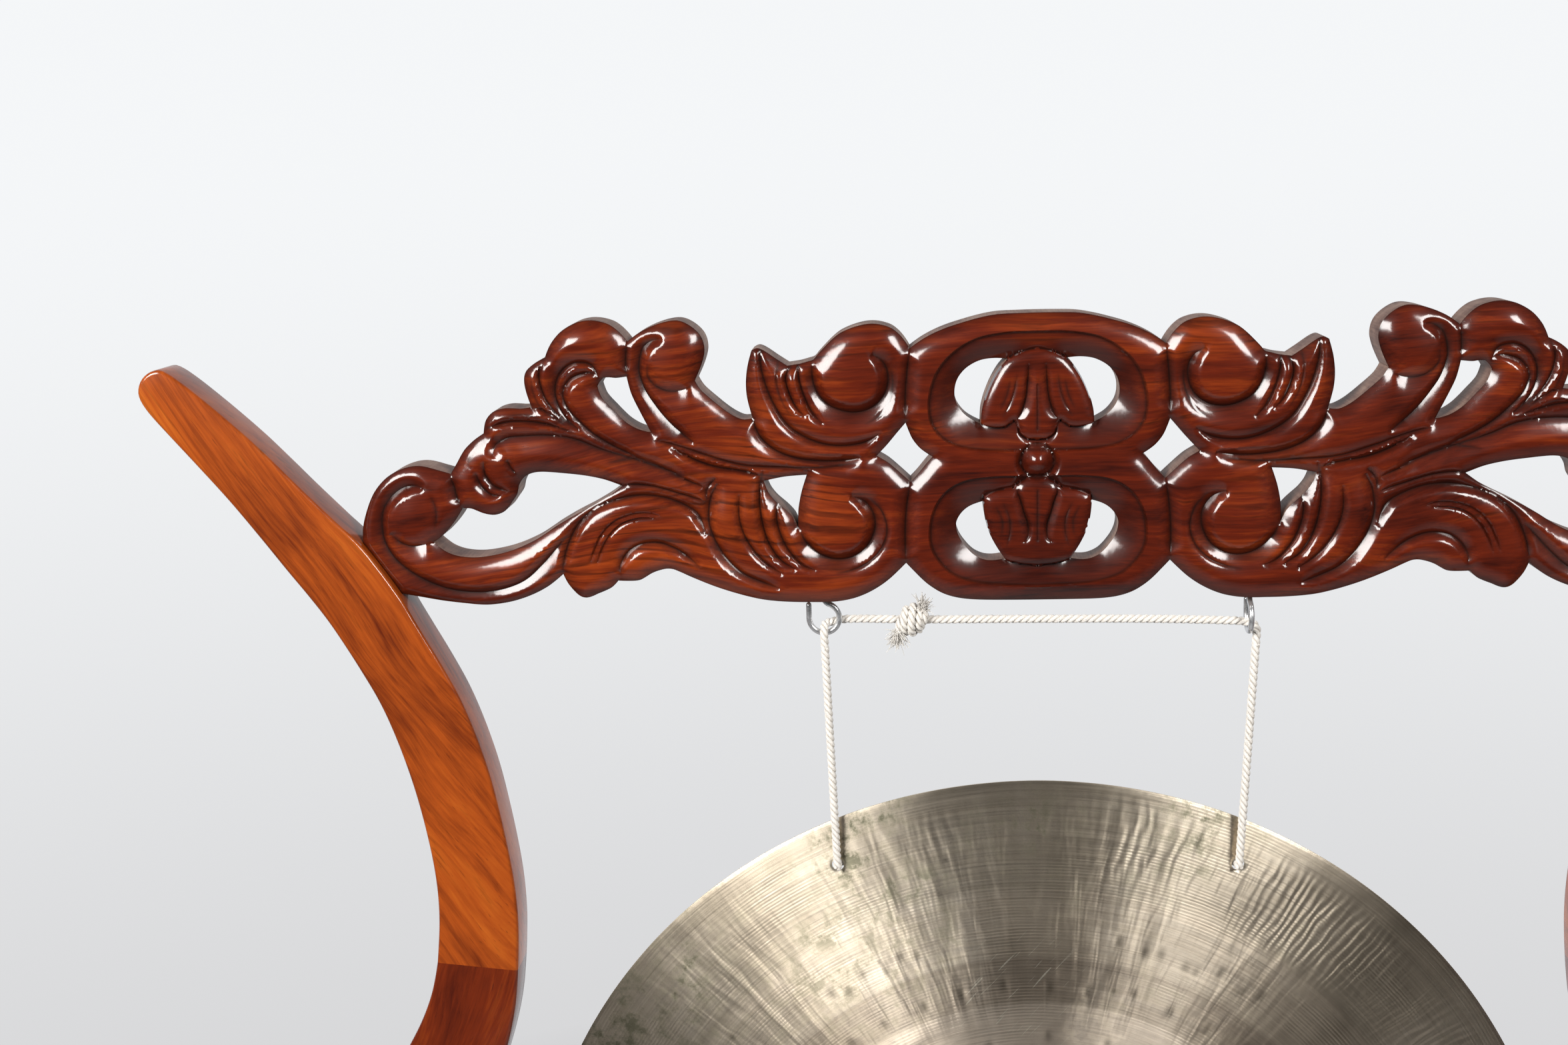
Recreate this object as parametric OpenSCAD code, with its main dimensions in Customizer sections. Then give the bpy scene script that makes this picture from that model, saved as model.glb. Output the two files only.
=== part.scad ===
// Hanging gong in a carved wooden stand.
// Millimetres, +Z up, +X to the right, the front faces -Y.
// The origin is on the floor, midway between the feet.

/* [Gong] */
// Diameter of the gong
gong_d = 600; // [560:1:610]
// Thickness of the bronze sheet
gong_t = 1.5; // [1.2:0.1:2]
// Height of the gong's centre above the floor
gong_z = 442; // [440:1:446]
// How far the middle stands proud of the rim
gong_dome = 10.7; // [10:0.1:12]
// Diameter of the two hanging holes
gong_hole_d = 7; // [6.6:0.1:8]
// Distance between the two hanging holes
gong_hole_pitch = 225; // [200:1:240]
// Height of the hanging holes above the gong's centre
gong_hole_rise = 251; // [240:1:255]

/* [Stand] */
// Thickness of the posts and the crossbar, front to back
frame_t = 28; // [24:1:32]
// Height of the crossbar's underside
bar_z = 850; // [846:1:854]
// Height of the lower rail
rail_h = 44; // [36:1:50]
// Thickness of the lower rail, front to back
rail_t = 26; // [20:1:28]
// Height of the lower rail's centre line
rail_z = 108; // [105:1:112]
// Length of each foot, front to back
foot_l = 320; // [280:10:360]
// Width of each foot
foot_w = 64; // [62:1:70]
// Height of the top of each foot
foot_top = 64; // [60:1:66]

/* [Suspension] */
// Diameter of the cotton rope
rope_d = 4.8; // [4.4:0.1:5]
// Diameter of the hooks' wire
wire_d = 3.2; // [3:0.1:3.4]
// Outer diameter of the hooks' rings
ring_d = 20; // [19.6:0.2:21]
// Clearance between the rope and what it bends round
rope_gap = 0.4; // [0.3:0.05:0.5]

/* [Hardware] */
// Shank diameter of the connector bolts
bolt_d = 6; // [5:0.5:6]
// Head diameter of the connector bolts
bolt_head_d = 13; // [12:0.5:14]
// Outer diameter of the threaded inserts
insert_d = 10; // [9:0.5:10]
// Diameter of the rubber foot pads
pad_d = 36; // [30:1:40]
// Thickness of the rubber foot pads
pad_t = 4; // [3:0.5:6]

/* [Hidden] */
$fn = 48;
rope_r = rope_d / 2;
wire_r = wire_d / 2;
ring_r = (ring_d - wire_d) / 2;
// Rope centre to wire centre where the rope bends over a hook
lap = rope_r + wire_r + rope_gap;

// The hooks: a ring arc up to this angle, then a reverse bend back onto the shank's line
hook_angle = 70;
hook_bend_r = ring_r * cos(hook_angle) / (1 - cos(hook_angle));
hook_drop = (ring_r + hook_bend_r) * sin(hook_angle);
hook_tip = 7;
hook_thread = 20;
ring_z = bar_z - hook_drop;
ring_bottom_z = ring_z - ring_r;
left_hook_x = -117;
right_hook_x = 115;

// The rope leaves the left ring in front of its wire, and the right ring beside it
left_top = [left_hook_x, 0, ring_bottom_z];
right_top = [right_hook_x + lap, 0, ring_bottom_z];
hole_z = gong_z + gong_hole_rise;
left_bottom = [-gong_hole_pitch / 2, 0, hole_z];
right_bottom = [gong_hole_pitch / 2, 0, hole_z];
turn_l = 8;
ball_gap = 0.3;

// Where the crossbar's ends sit against the posts, as distance from the middle and height
seat_top = [371.5, bar_z + 36.5];
seat_bottom = [351.5, bar_z + 7.5];
seat_mid = (seat_top + seat_bottom) / 2;
seat_angle = atan2(seat_top[1] - seat_bottom[1], seat_top[0] - seat_bottom[0]);

// The glued joint between the upper and lower post boards
splice_outer = [344.2, 640.3];
splice_inner = [297.3, 635.5];
splice_mid = (splice_outer + splice_inner) / 2;
splice_angle = atan2(splice_outer[1] - splice_inner[1], splice_outer[0] - splice_inner[0]);
dowel_d = 8;
dowel_l = 40;
dowel_pitch = 22;

post_foot_outer = 460;
post_foot_inner = 400;
foot_x = (post_foot_outer + post_foot_inner) / 2;
// How far a cut runs past the surface it opens
past = 5;

bolt_head_h = 4.5;
bolt_clear = 0.4;
bolt_socket_d = 4.6;
bolt_socket_h = 2.2;
// Thickness of the post along the crossbar bolt, between the seat and the spot face
post_through = 39.6;
insert_l = 20;
insert_clear = 0.2;

// The screws that hold each foot, driven up from a deep bore in its underside
screw_d = 6;
screw_clear = 0.4;
screw_pitch = 30;
screw_hex_d = 10;
screw_hex_h = 4;
washer_d = 13;
washer_t = 1.2;
screw_sunk = 16;
screw_reach = 34;
foot_arch = 15;
foot_flat = 44;
pad_inset = 33;

// How far behind the gong's plane the rope crosses from hole to hole
rope_behind = 8;
// How far above a hole's centre the drop ends, past the rope's own radius
drop_gap = 1.2;

// ---------- curves ----------

// A smooth curve from b to c, guided by the points before and after them
function between(a, b, c, d, t) =
    (2 * b + (c - a) * t + (2 * a - 5 * b + 4 * c - d) * t * t
        + (3 * b - a - 3 * c + d) * t * t * t) / 2;

// A smooth curve through a list of points, without its last point
function curve(p, steps = 2) = [
    for (i = [0:len(p) - 2])
        for (k = [0:steps - 1])
            between(p[max(i - 1, 0)], p[i], p[i + 1], p[min(i + 2, len(p) - 1)], k / steps)
];

// Smooth stretches joined at sharp corners
function stretches(lists, steps = 2) = [for (p = lists) each curve(p, steps)];

// A whole outline from its half: up one side, and back down the other
function mirrored(half) = concat(
    half,
    [for (i = [len(half) - 2:-1:1]) [-half[i][0], half[i][1]]]
);

function unit(v) = v / norm(v);

// Direction of travel at point i of a path
function heading(p, i) = unit(p[min(i + 1, len(p) - 1)] - p[max(i - 1, 0)]);

// Where a tube's rings stand along a path: [centre, heading, radius], with ball ends
function stations(p, r) =
    let (n = len(p), first = heading(p, 0), last = heading(p, n - 1))
    concat(
        [for (a = [80, 55, 30]) [p[0] - r * sin(a) * first, first, r * cos(a)]],
        [for (i = [0:n - 1]) [p[i], heading(p, i), r]],
        [for (a = [30, 55, 80]) [p[n - 1] + r * sin(a) * last, last, r * cos(a)]]
    );

// One ring of a tube; across is a direction that the path never runs along
function ring(station, sides, across) =
    let (side = unit(cross(station[1], across)), up = cross(side, station[1]))
    [
        for (k = [0:sides - 1])
            station[0] + station[2] * (cos(k * 360 / sides) * side + sin(k * 360 / sides) * up)
    ];

// A round tube along a path, with ball ends
module tube(p, r, across, sides = 10) {
    rings = stations(p, r);
    n = len(rings);
    points = [for (s = rings) each ring(s, sides, across)];
    walls = [
        for (i = [0:n - 2])
            for (k = [0:sides - 1])
                [
                    i * sides + k, i * sides + (k + 1) % sides,
                    (i + 1) * sides + (k + 1) % sides, (i + 1) * sides + k
                ]
    ];
    first = [for (k = [sides - 1:-1:0]) k];
    last = [for (k = [0:sides - 1]) (n - 1) * sides + k];
    polyhedron(points, concat([first], walls, [last]), convexity = 6);
}

// A straight strand from a to b: hollowed at a to clear a ball end there, and
// with a ball end of its own at b, or hollowed there to clear a bend
module strand(a, b, ball) {
    v = b - a;
    translate(a)
        rotate([0, acos(v[2] / norm(v)), atan2(v[1], v[0])])
            rotate_extrude()
                intersection() {
                    difference() {
                        union() {
                            square([rope_r, norm(v)]);
                            if (ball)
                                translate([0, norm(v)])
                                    circle(rope_r);
                        }
                        circle(rope_r + ball_gap);
                        if (!ball)
                            translate([0, norm(v)])
                                circle(rope_r + drop_gap);
                    }
                    square([2 * rope_r, 2 * norm(v)]);
                }
}

// Extrudes an outline drawn as distance from the middle and height, centred front to back
module board(t) {
    translate([0, t / 2, 0])
        rotate([90, 0, 0])
            linear_extrude(t)
                children();
}

module on_left() {
    mirror([1, 0, 0])
        children();
}

// ---------- the carved crossbar ----------
// Each number pair is the distance from the middle and the height above the underside.

bar_edge = [
    // centre frame, up to its notch
    [[0, 156], [22, 155.5], [40, 151.5], [52, 147.5], [61, 143], [67.5, 138.5]],
    // upper scroll
    [[67.5, 138.5], [71, 144], [77, 149.5], [86, 152], [95, 151], [105, 147], [113, 140], [119, 133.5]],
    // feathers and leaf tip
    [[119, 133.5], [126, 131.5], [133, 130.5]],
    [[133, 130.5], [139, 134.5], [145, 138.7], [149, 140.3], [152, 139]],
    [[152, 139], [154.3, 131], [155.5, 122], [155, 113], [152.5, 102.5]],
    // upper arm and its lobe
    [[152.5, 102.5], [158, 102], [165, 105.5], [173, 112], [180, 118.5], [183, 123.5]],
    [[183, 123.5], [179.5, 131], [177.2, 139], [178.3, 146], [182, 151], [188, 155], [194, 156],
        [203, 154], [212, 150], [218.7, 145.3]],
    // ball lobe
    [[218.7, 145.3], [222, 149.5], [228, 154.5], [237, 157], [246, 156], [255, 151], [261, 144],
        [264, 137.5]],
    // three fan feathers
    [[264, 137.5], [269, 135], [274.5, 130.5], [276, 125], [275, 118], [272.8, 110.7]],
    [[272.8, 110.7], [279, 110], [287, 110.4], [294, 108.5], [298.5, 103.5], [300, 96.7]],
    [[300, 96.7], [305, 93.5], [311, 88], [315.5, 81], [319.5, 74.7]],
    // end scroll, down to its seat on the post
    [[319.5, 74.7], [327, 77], [336, 79.3], [345, 78.3], [355, 73.5], [363, 65], [368, 54.5],
        [370.8, 45], [371.5, 36.5]],
    [[371.5, 36.5], [351.5, 7.5]],
    // underside of the lower arm
    [[351.5, 7.5], [341, 5.6], [328, 3.2], [315, 1.5], [303, 0.6], [290, 2.2], [278, 6],
        [268, 11.2], [260, 17.5]],
    // hanging leaf
    [[260, 17.5], [257.5, 12], [252, 5.5], [247, 4], [241, 6.2], [233.5, 9.5], [229.5, 13.4]],
    // lower scroll
    [[229.5, 13.4], [223, 13.2], [217, 13.8], [211, 17.2], [205, 19.3], [199, 19.5], [190, 15.5],
        [178, 10.3], [165, 5.7], [150, 1.8], [135, 0.3], [122, 0], [110, 0.2], [99, 2.2],
        [89, 6.5], [80, 12.7], [71, 21.4]],
    // bottom of the centre frame
    [[71, 21.4], [66, 16], [60, 10], [52, 4.6], [43, 1.6], [32, 0.4], [16, 0.1], [0, 0]]
];

bar_openings = [
    // beside the upper tulip
    [
        [[16, 131.5], [22, 132], [30, 131], [37.5, 127], [42.3, 121], [43.8, 114], [42.5, 107.5],
            [38.5, 102], [34, 98.8], [30, 96.8]],
        [[30, 96.8], [29.6, 104], [27.5, 112], [24, 120.3], [20, 127], [16, 131.5]]
    ],
    // beside the lower tulip
    [
        [[29, 54.5], [35, 52.5], [40, 49], [43.5, 43], [42.5, 36], [39, 30], [34, 24.7], [28, 22],
            [22, 21.8], [17, 22.7]],
        [[17, 22.7], [21, 28.5], [25.3, 36.5], [28, 45], [29, 54.5]]
    ],
    // four-pointed, between the frame and the scrolls
    [
        [[70.2, 98.5], [66.8, 90], [62, 84], [56, 79.8]],
        [[56, 79.8], [59.5, 76], [64, 70.5], [68, 66.3]],
        [[68, 66.3], [73.5, 71.5], [80, 77.2], [86, 80.8]],
        [[86, 80.8], [80.5, 86.5], [75, 93], [70.2, 98.5]]
    ],
    // three-cornered, beside the lower scroll
    [
        [[147.5, 68], [136, 70.2], [124, 71]],
        [[124, 71], [127, 62], [129, 52], [129.4, 41.7]],
        [[129.4, 41.7], [132, 47.5], [136.5, 52.5], [141.5, 57], [145.2, 62], [147.5, 68]]
    ],
    // slot under the ball lobe
    [
        [[236, 121.5], [232.5, 126], [226, 125.7], [220, 126.3]],
        [[220, 126.3], [218, 117.5], [214.3, 108.8], [208, 95.8]],
        [[208, 95.8], [214.5, 97.5], [221.5, 101.7], [229, 109.5], [234, 115.5], [236, 121.5]]
    ],
    // long opening between the two arms
    [
        [[314, 55.5], [309, 55], [303, 52.5], [296.5, 51.4], [290.5, 53.5], [286.3, 58.5],
            [283.2, 63], [282, 67.5], [279.5, 71.5], [275.5, 74], [269, 75], [257, 74],
            [245, 72.5], [234, 70], [225, 66.5]],
        [[225, 66.5], [233, 60.7], [243, 55], [253, 50], [263, 44.3], [274, 37.3], [286, 32],
            [297, 29], [308, 27.6], [318, 28.5], [325.5, 31.5], [331.5, 36.5]],
        [[331.5, 36.5], [326.5, 40], [321.5, 45], [317.5, 50], [314, 55.5]]
    ]
];

module bar_outline() {
    difference() {
        polygon(mirrored(concat(stretches(bar_edge), [[0, 0]])));
        for (opening = bar_openings)
            for (side = [-1, 1])
                scale([side, 1])
                    polygon(stretches(opening));
    }
}

// A bore that starts at the crossbar's seat and runs into its end, for the right-hand end
module seat_bore(d, l) {
    translate([seat_mid[0], 0, seat_mid[1]])
        rotate([0, -seat_angle, 0])
            cylinder(h = l, d = d);
}

module carved_crossbar() {
    color("saddlebrown")
        difference() {
            translate([0, 0, bar_z])
                board(frame_t)
                    bar_outline();
            for (side = [0, 1])
                mirror([side, 0, 0])
                    seat_bore(insert_d, insert_l);
            hook_hole(left_hook_x, lap);
            hook_hole(right_hook_x, 0);
        }
}

module hook_hole(x, y) {
    translate([x, y, bar_z - past])
        cylinder(h = hook_thread + past, d = wire_d);
}

// ---------- the posts ----------
// Each number pair is the distance from the middle and the height above the floor.

upper_outer_edge = [
    [344.2, 640.3], [342, 660], [341.3, 677], [342.2, 695], [344.8, 715], [349.5, 740], [356, 765],
    [364.5, 790], [374.5, 811], [393, 843.5], [413.5, 872], [443, 912], [474.5, 950], [485.5, 964],
    [489, 973], [486, 981], [479, 985.3], [471.5, 983.5], [454, 969.5], [427.5, 945], [401, 917],
    [371.5, 886.5]
];
upper_inner_edge = [
    [351.5, 857.5], [338.5, 833], [327.5, 812], [317.5, 789], [306.3, 751], [298, 702],
    [295.6, 673], [296, 652], [297.3, 635.5]
];
lower_inner_edge = [
    [297.3, 635.5], [300, 614], [306, 589], [317, 558], [333, 525], [351, 494], [369, 460],
    [383, 424], [392, 385], [397.5, 340], [400, 290], [400, 230], [400, 150], [400, 64]
];
lower_outer_edge = [
    [460, 64], [460, 150], [462, 200], [466, 260], [467.5, 310], [465.5, 360], [459, 405],
    [448, 445], [432, 480], [412, 513], [391, 545], [373, 573], [357, 601], [348.5, 622],
    [344.2, 640.3]
];

module upper_post_outline() {
    polygon(concat(curve(upper_outer_edge), [seat_top], curve(upper_inner_edge), [splice_inner]));
}

module lower_post_outline() {
    polygon(concat(
        curve(lower_inner_edge), [[post_foot_inner, foot_top]],
        curve(lower_outer_edge), [splice_outer]
    ));
}

// The two dowels across the glued joint, for the right-hand post
module splice_pins(d, l) {
    translate([splice_mid[0], 0, splice_mid[1]])
        rotate([0, -splice_angle, 0])
            for (side = [-1, 1])
                translate([side * dowel_pitch / 2, 0, 0])
                    cylinder(h = l, d = d, center = true);
}

module post_upper() {
    color("chocolate")
        difference() {
            board(frame_t)
                upper_post_outline();
            splice_pins(dowel_d, dowel_l);
            crossbar_bolt_hole();
        }
}

// The crossbar bolt's hole through the post, with a spot face under its head
module crossbar_bolt_hole() {
    translate([seat_mid[0], 0, seat_mid[1]])
        rotate([0, -seat_angle, 0])
            translate([0, 0, -post_through]) {
                cylinder(h = post_through + past, d = bolt_d + bolt_clear);
                translate([0, 0, -2 * past])
                    cylinder(h = 2 * past, d = bolt_head_d + bolt_clear);
            }
}

module post_lower() {
    color("sienna")
        difference() {
            board(frame_t)
                lower_post_outline();
            splice_pins(dowel_d, dowel_l);
            translate([post_foot_inner - past, 0, rail_z])
                rotate([0, 90, 0])
                    cylinder(h = post_foot_outer - post_foot_inner + 2 * past, d = bolt_d + bolt_clear);
            for (side = [-1, 1])
                translate([foot_x + side * screw_pitch / 2, 0, foot_top - past])
                    cylinder(h = screw_reach + past, d = screw_d + screw_clear / 2);
        }
}

module splice_dowels() {
    color("burlywood")
        splice_pins(dowel_d, dowel_l);
}

// ---------- connector bolts and inserts ----------

// A dome-head bolt along +Z: the head's flat face is at 0 and the shank runs up
module connector_bolt(l) {
    dome_r = (bolt_head_d * bolt_head_d / 4 + bolt_head_h * bolt_head_h) / (2 * bolt_head_h);
    color("silver")
        difference() {
            union() {
                cylinder(h = l, d = bolt_d);
                intersection() {
                    translate([0, 0, dome_r - bolt_head_h])
                        sphere(r = dome_r);
                    translate([0, 0, -bolt_head_h])
                        cylinder(h = bolt_head_h, d = bolt_head_d);
                }
            }
            translate([0, 0, -bolt_head_h - past])
                cylinder(h = bolt_socket_h + past, d = bolt_socket_d, $fn = 6);
        }
}

module threaded_insert() {
    color("darkkhaki")
        difference() {
            cylinder(h = insert_l, d = insert_d);
            translate([0, 0, -past])
                cylinder(h = insert_l + 2 * past, d = bolt_d + insert_clear);
        }
}

module crossbar_bolt() {
    translate([seat_mid[0], 0, seat_mid[1]])
        rotate([0, -seat_angle, 0])
            translate([0, 0, -post_through])
                connector_bolt(post_through + insert_l - 1);
}

module crossbar_insert() {
    translate([seat_mid[0], 0, seat_mid[1]])
        rotate([0, -seat_angle, 0])
            threaded_insert();
}

module rail_bolt() {
    translate([post_foot_outer, 0, rail_z])
        rotate([0, -90, 0])
            connector_bolt(post_foot_outer - post_foot_inner + insert_l - 1);
}

module rail_insert() {
    translate([post_foot_inner, 0, rail_z])
        rotate([0, -90, 0])
            threaded_insert();
}

// ---------- lower rail and feet ----------

module rounded_rectangle(a, b, r) {
    square([a - 2 * r, b], center = true);
    square([a, b - 2 * r], center = true);
    for (i = [-1, 1])
        for (j = [-1, 1])
            translate([i * (a / 2 - r), j * (b / 2 - r)])
                circle(r);
}

module lower_rail() {
    color("chocolate")
        difference() {
            translate([-post_foot_inner, 0, rail_z])
                rotate([90, 0, 90])
                    linear_extrude(2 * post_foot_inner)
                        rounded_rectangle(rail_t, rail_h, 5);
            for (side = [0, 1])
                mirror([side, 0, 0])
                    translate([post_foot_inner + past, 0, rail_z])
                        rotate([0, -90, 0])
                            cylinder(h = insert_l + past, d = insert_d);
        }
}

foot_edge = [
    [[0, foot_top], [foot_flat, foot_top]],
    [[foot_flat, foot_top], [62, 56], [85, 45], [112, 38], [foot_l / 2 - 20, 34], [foot_l / 2 - 6, 29],
        [foot_l / 2, 20], [foot_l / 2 - 3, 10], [foot_l / 2 - 9, pad_t]],
    [[foot_l / 2 - 9, pad_t], [foot_l / 2 - 58, pad_t]],
    [[foot_l / 2 - 58, pad_t], [foot_l / 2 - 68, 9], [foot_l / 2 - 84, 13], [48, foot_arch],
        [0, foot_arch]]
];

module foot() {
    color("sienna")
        difference() {
            translate([foot_x - foot_w / 2, 0, 0])
                rotate([90, 0, 90])
                    linear_extrude(foot_w)
                        polygon(mirrored(concat(stretches(foot_edge), [[0, foot_arch]])));
            for (side = [-1, 1])
                translate([foot_x + side * screw_pitch / 2, 0, 0]) {
                    cylinder(h = foot_top + past, d = screw_d + screw_clear);
                    cylinder(h = foot_arch + screw_sunk, d = washer_d + 2 * screw_clear);
                }
        }
}

module foot_screws() {
    color("silver")
        for (side = [-1, 1])
            translate([foot_x + side * screw_pitch / 2, 0, foot_arch + screw_sunk]) {
                cylinder(h = foot_top - foot_arch - screw_sunk + screw_reach, d = screw_d);
                translate([0, 0, -screw_hex_h])
                    cylinder(h = screw_hex_h, d = screw_hex_d, $fn = 6);
                translate([0, 0, -washer_t])
                    cylinder(h = washer_t, d = washer_d);
            }
}

module foot_pads() {
    color("dimgray")
        for (side = [-1, 1])
            translate([foot_x, side * (foot_l / 2 - pad_inset), 0])
                cylinder(h = pad_t, d = pad_d);
}

// ---------- the hooks ----------

// The line of a hook's wire, as across and up from where the shank enters the wood
hook_line = concat(
    [[-ring_r, hook_tip - hook_drop], [-ring_r, hook_tip / 2 - hook_drop]],
    [for (a = [180:10:360 + hook_angle]) [ring_r * cos(a), ring_r * sin(a) - hook_drop]],
    [for (a = [170 + hook_angle:-10:180]) hook_bend_r * [1 + cos(a), sin(a)]],
    [[0, hook_thread / 2], [0, hook_thread]]
);

// A screw hook hanging from the origin: its ring lies in the XZ plane
module hook() {
    color("gainsboro")
        tube([for (p = hook_line) [p[0], 0, p[1]]], wire_r, [0, 1, 0], 12);
}

module left_hook() {
    translate([left_hook_x, lap, bar_z])
        hook();
}

module right_hook() {
    translate([right_hook_x, 0, bar_z])
        rotate([0, 0, -90])
            hook();
}

// ---------- the rope ----------

// Behind the left ring's side, through the ring, over its wire and down in front
left_wrap = [
    [left_hook_x + 17, lap + 3.6, ring_z - 1.6],
    [left_hook_x + 9, lap + 4.6, ring_z - 2.2],
    [left_hook_x + 4.6, lap + 3.9, ring_z - 3],
    [left_hook_x + 1.6, lap + 2.2, ring_bottom_z + lap + 0.6],
    [left_hook_x, lap - 0.6, ring_bottom_z + lap],
    [left_hook_x, 1.3, ring_bottom_z + 3.1],
    [left_hook_x, 0, ring_bottom_z]
];
// Over the right ring's wire and down beside it
right_wrap = [
    [right_hook_x + lap, 0, ring_bottom_z],
    [right_hook_x + lap - 1.3, 0, ring_bottom_z + 3.1],
    [right_hook_x + 0.6, 0, ring_bottom_z + lap],
    [right_hook_x - 4, 0.1, ring_bottom_z + lap + 0.9],
    [right_hook_x - 14, 0.6, ring_bottom_z + lap + 1.4]
];
knot_at = [-68, 5.6, ring_z - 1.7];

module rope_top_span() {
    route = concat(
        curve(right_wrap, 3), [right_wrap[4]], [[60, 3, ring_z - 2], [0, 4.5, ring_z - 1.8], knot_at],
        curve(left_wrap, 3), [left_wrap[6]]
    );
    color("ivory")
        tube(route, rope_r, [0, 1, -1]);
}

// The knot's bights as [place, radius], and its cut ends as [place, lean, radius]
knot_bights = [[[0, 0, 0], 6], [[3.5, -2, 2.5], 4.8], [[-4, -1, -2.5], 5]];
knot_ends = [[[5, -1, 5], 50, 3.2], [[-5, -1, -4], 200, 3.4]];
knot_end_l = 7;

module rope_knot() {
    color("ivory")
        translate(knot_at) {
            for (bight = knot_bights)
                translate(bight[0])
                    sphere(bight[1]);
            for (end = knot_ends)
                translate(end[0])
                    rotate([0, end[1], 0])
                        cylinder(h = knot_end_l, r = end[2]);
        }
}

// Where the free bit of rope below a hook meets the drop
function turn_end(top, bottom) = top + turn_l * unit(bottom - top);

// The free bit of rope just below a hook, which bends as the gong swings
module rope_turn(top, bottom) {
    color("ivory")
        strand(top, turn_end(top, bottom), true);
}

module rope_drop(top, bottom) {
    color("ivory")
        strand(turn_end(top, bottom), bottom, false);
}

module rope_back_span() {
    half = [
        [gong_hole_pitch / 2, 0, hole_z], [gong_hole_pitch / 2, 2.5, hole_z],
        [gong_hole_pitch / 2, 4.6, hole_z], [gong_hole_pitch / 2 - 0.8, 6.8, hole_z],
        [gong_hole_pitch / 2 - 3.4, rope_behind, hole_z], [gong_hole_pitch / 2 - 9, rope_behind, hole_z]
    ];
    other = [for (i = [5:-1:0]) [-half[i][0], half[i][1], half[i][2]]];
    color("ivory")
        tube(concat(curve(half, 2), [half[5]], curve(other, 2), [other[5]]), rope_r, [0, 0, 1]);
}

// ---------- the gong ----------

// Forward bulge of the sheet at a distance r from the centre
function bulge(r) = gong_dome * (0.5 - pow(2 * r / gong_d, 2));

module gong() {
    rings = 20;
    front = [for (i = [0:rings]) [i * gong_d / 2 / rings, bulge(i * gong_d / 2 / rings) + gong_t / 2]];
    back = [for (i = [rings:-1:0]) [front[i][0], front[i][1] - gong_t]];
    color("darkgoldenrod")
        translate([0, 0, gong_z])
            rotate([90, 0, 0])
                difference() {
                    rotate_extrude($fn = 96)
                        polygon(concat(front, back));
                    for (side = [-1, 1])
                        translate([side * gong_hole_pitch / 2, gong_hole_rise, -gong_dome])
                            cylinder(h = 2 * gong_dome, d = gong_hole_d);
                }
}

// ---------- the assembly ----------

on_left() post_upper();  // left_post_upper
post_upper();  // right_post_upper
on_left() post_lower();  // left_post_lower
post_lower();  // right_post_lower
on_left() splice_dowels();  // left_splice_dowels
splice_dowels();  // right_splice_dowels
carved_crossbar();
on_left() crossbar_bolt();  // left_crossbar_bolt
crossbar_bolt();  // right_crossbar_bolt
on_left() crossbar_insert();  // left_crossbar_insert
crossbar_insert();  // right_crossbar_insert
lower_rail();
on_left() rail_bolt();  // left_rail_bolt
rail_bolt();  // right_rail_bolt
on_left() rail_insert();  // left_rail_insert
rail_insert();  // right_rail_insert
on_left() foot();  // left_foot
foot();  // right_foot
on_left() foot_screws();  // left_foot_screws
foot_screws();  // right_foot_screws
on_left() foot_pads();  // left_foot_pads
foot_pads();  // right_foot_pads
left_hook();
right_hook();
rope_top_span();
rope_knot();
rope_turn(left_top, left_bottom);  // rope_left_turn
rope_turn(right_top, right_bottom);  // rope_right_turn
rope_drop(left_top, left_bottom);  // rope_left_drop
rope_drop(right_top, right_bottom);  // rope_right_drop
rope_back_span();
gong();
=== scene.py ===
"""A hanging gong in a carved wooden stand: its looks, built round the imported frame.

Lengths are in metres where nothing else is said. The carving's lines are in millimetres:
distance from the crossbar's middle, then height above its underside.
"""

import math

import bmesh
import bpy
import numpy as np
from mathutils import Matrix, Vector
from mathutils.geometry import delaunay_2d_cdt
from mathutils.kdtree import KDTree


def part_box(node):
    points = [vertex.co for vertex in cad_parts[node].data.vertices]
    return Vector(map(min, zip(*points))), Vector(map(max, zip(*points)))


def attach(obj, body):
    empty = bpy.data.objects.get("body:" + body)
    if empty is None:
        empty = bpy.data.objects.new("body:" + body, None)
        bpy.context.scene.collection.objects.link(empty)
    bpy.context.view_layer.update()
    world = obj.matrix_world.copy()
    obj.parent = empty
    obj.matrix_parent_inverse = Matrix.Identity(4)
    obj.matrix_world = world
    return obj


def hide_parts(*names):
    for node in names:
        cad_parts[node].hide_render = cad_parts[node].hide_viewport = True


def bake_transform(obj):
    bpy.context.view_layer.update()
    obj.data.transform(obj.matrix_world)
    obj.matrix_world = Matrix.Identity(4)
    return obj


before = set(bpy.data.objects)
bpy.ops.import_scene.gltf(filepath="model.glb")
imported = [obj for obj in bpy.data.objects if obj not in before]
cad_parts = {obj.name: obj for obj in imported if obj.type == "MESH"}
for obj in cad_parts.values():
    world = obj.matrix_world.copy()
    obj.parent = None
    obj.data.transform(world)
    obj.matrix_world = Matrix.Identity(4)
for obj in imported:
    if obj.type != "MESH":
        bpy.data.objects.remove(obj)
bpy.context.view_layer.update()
MM = 0.001
rng = np.random.default_rng(7)


# ---------------------------------------------------------------- shader helpers

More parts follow.
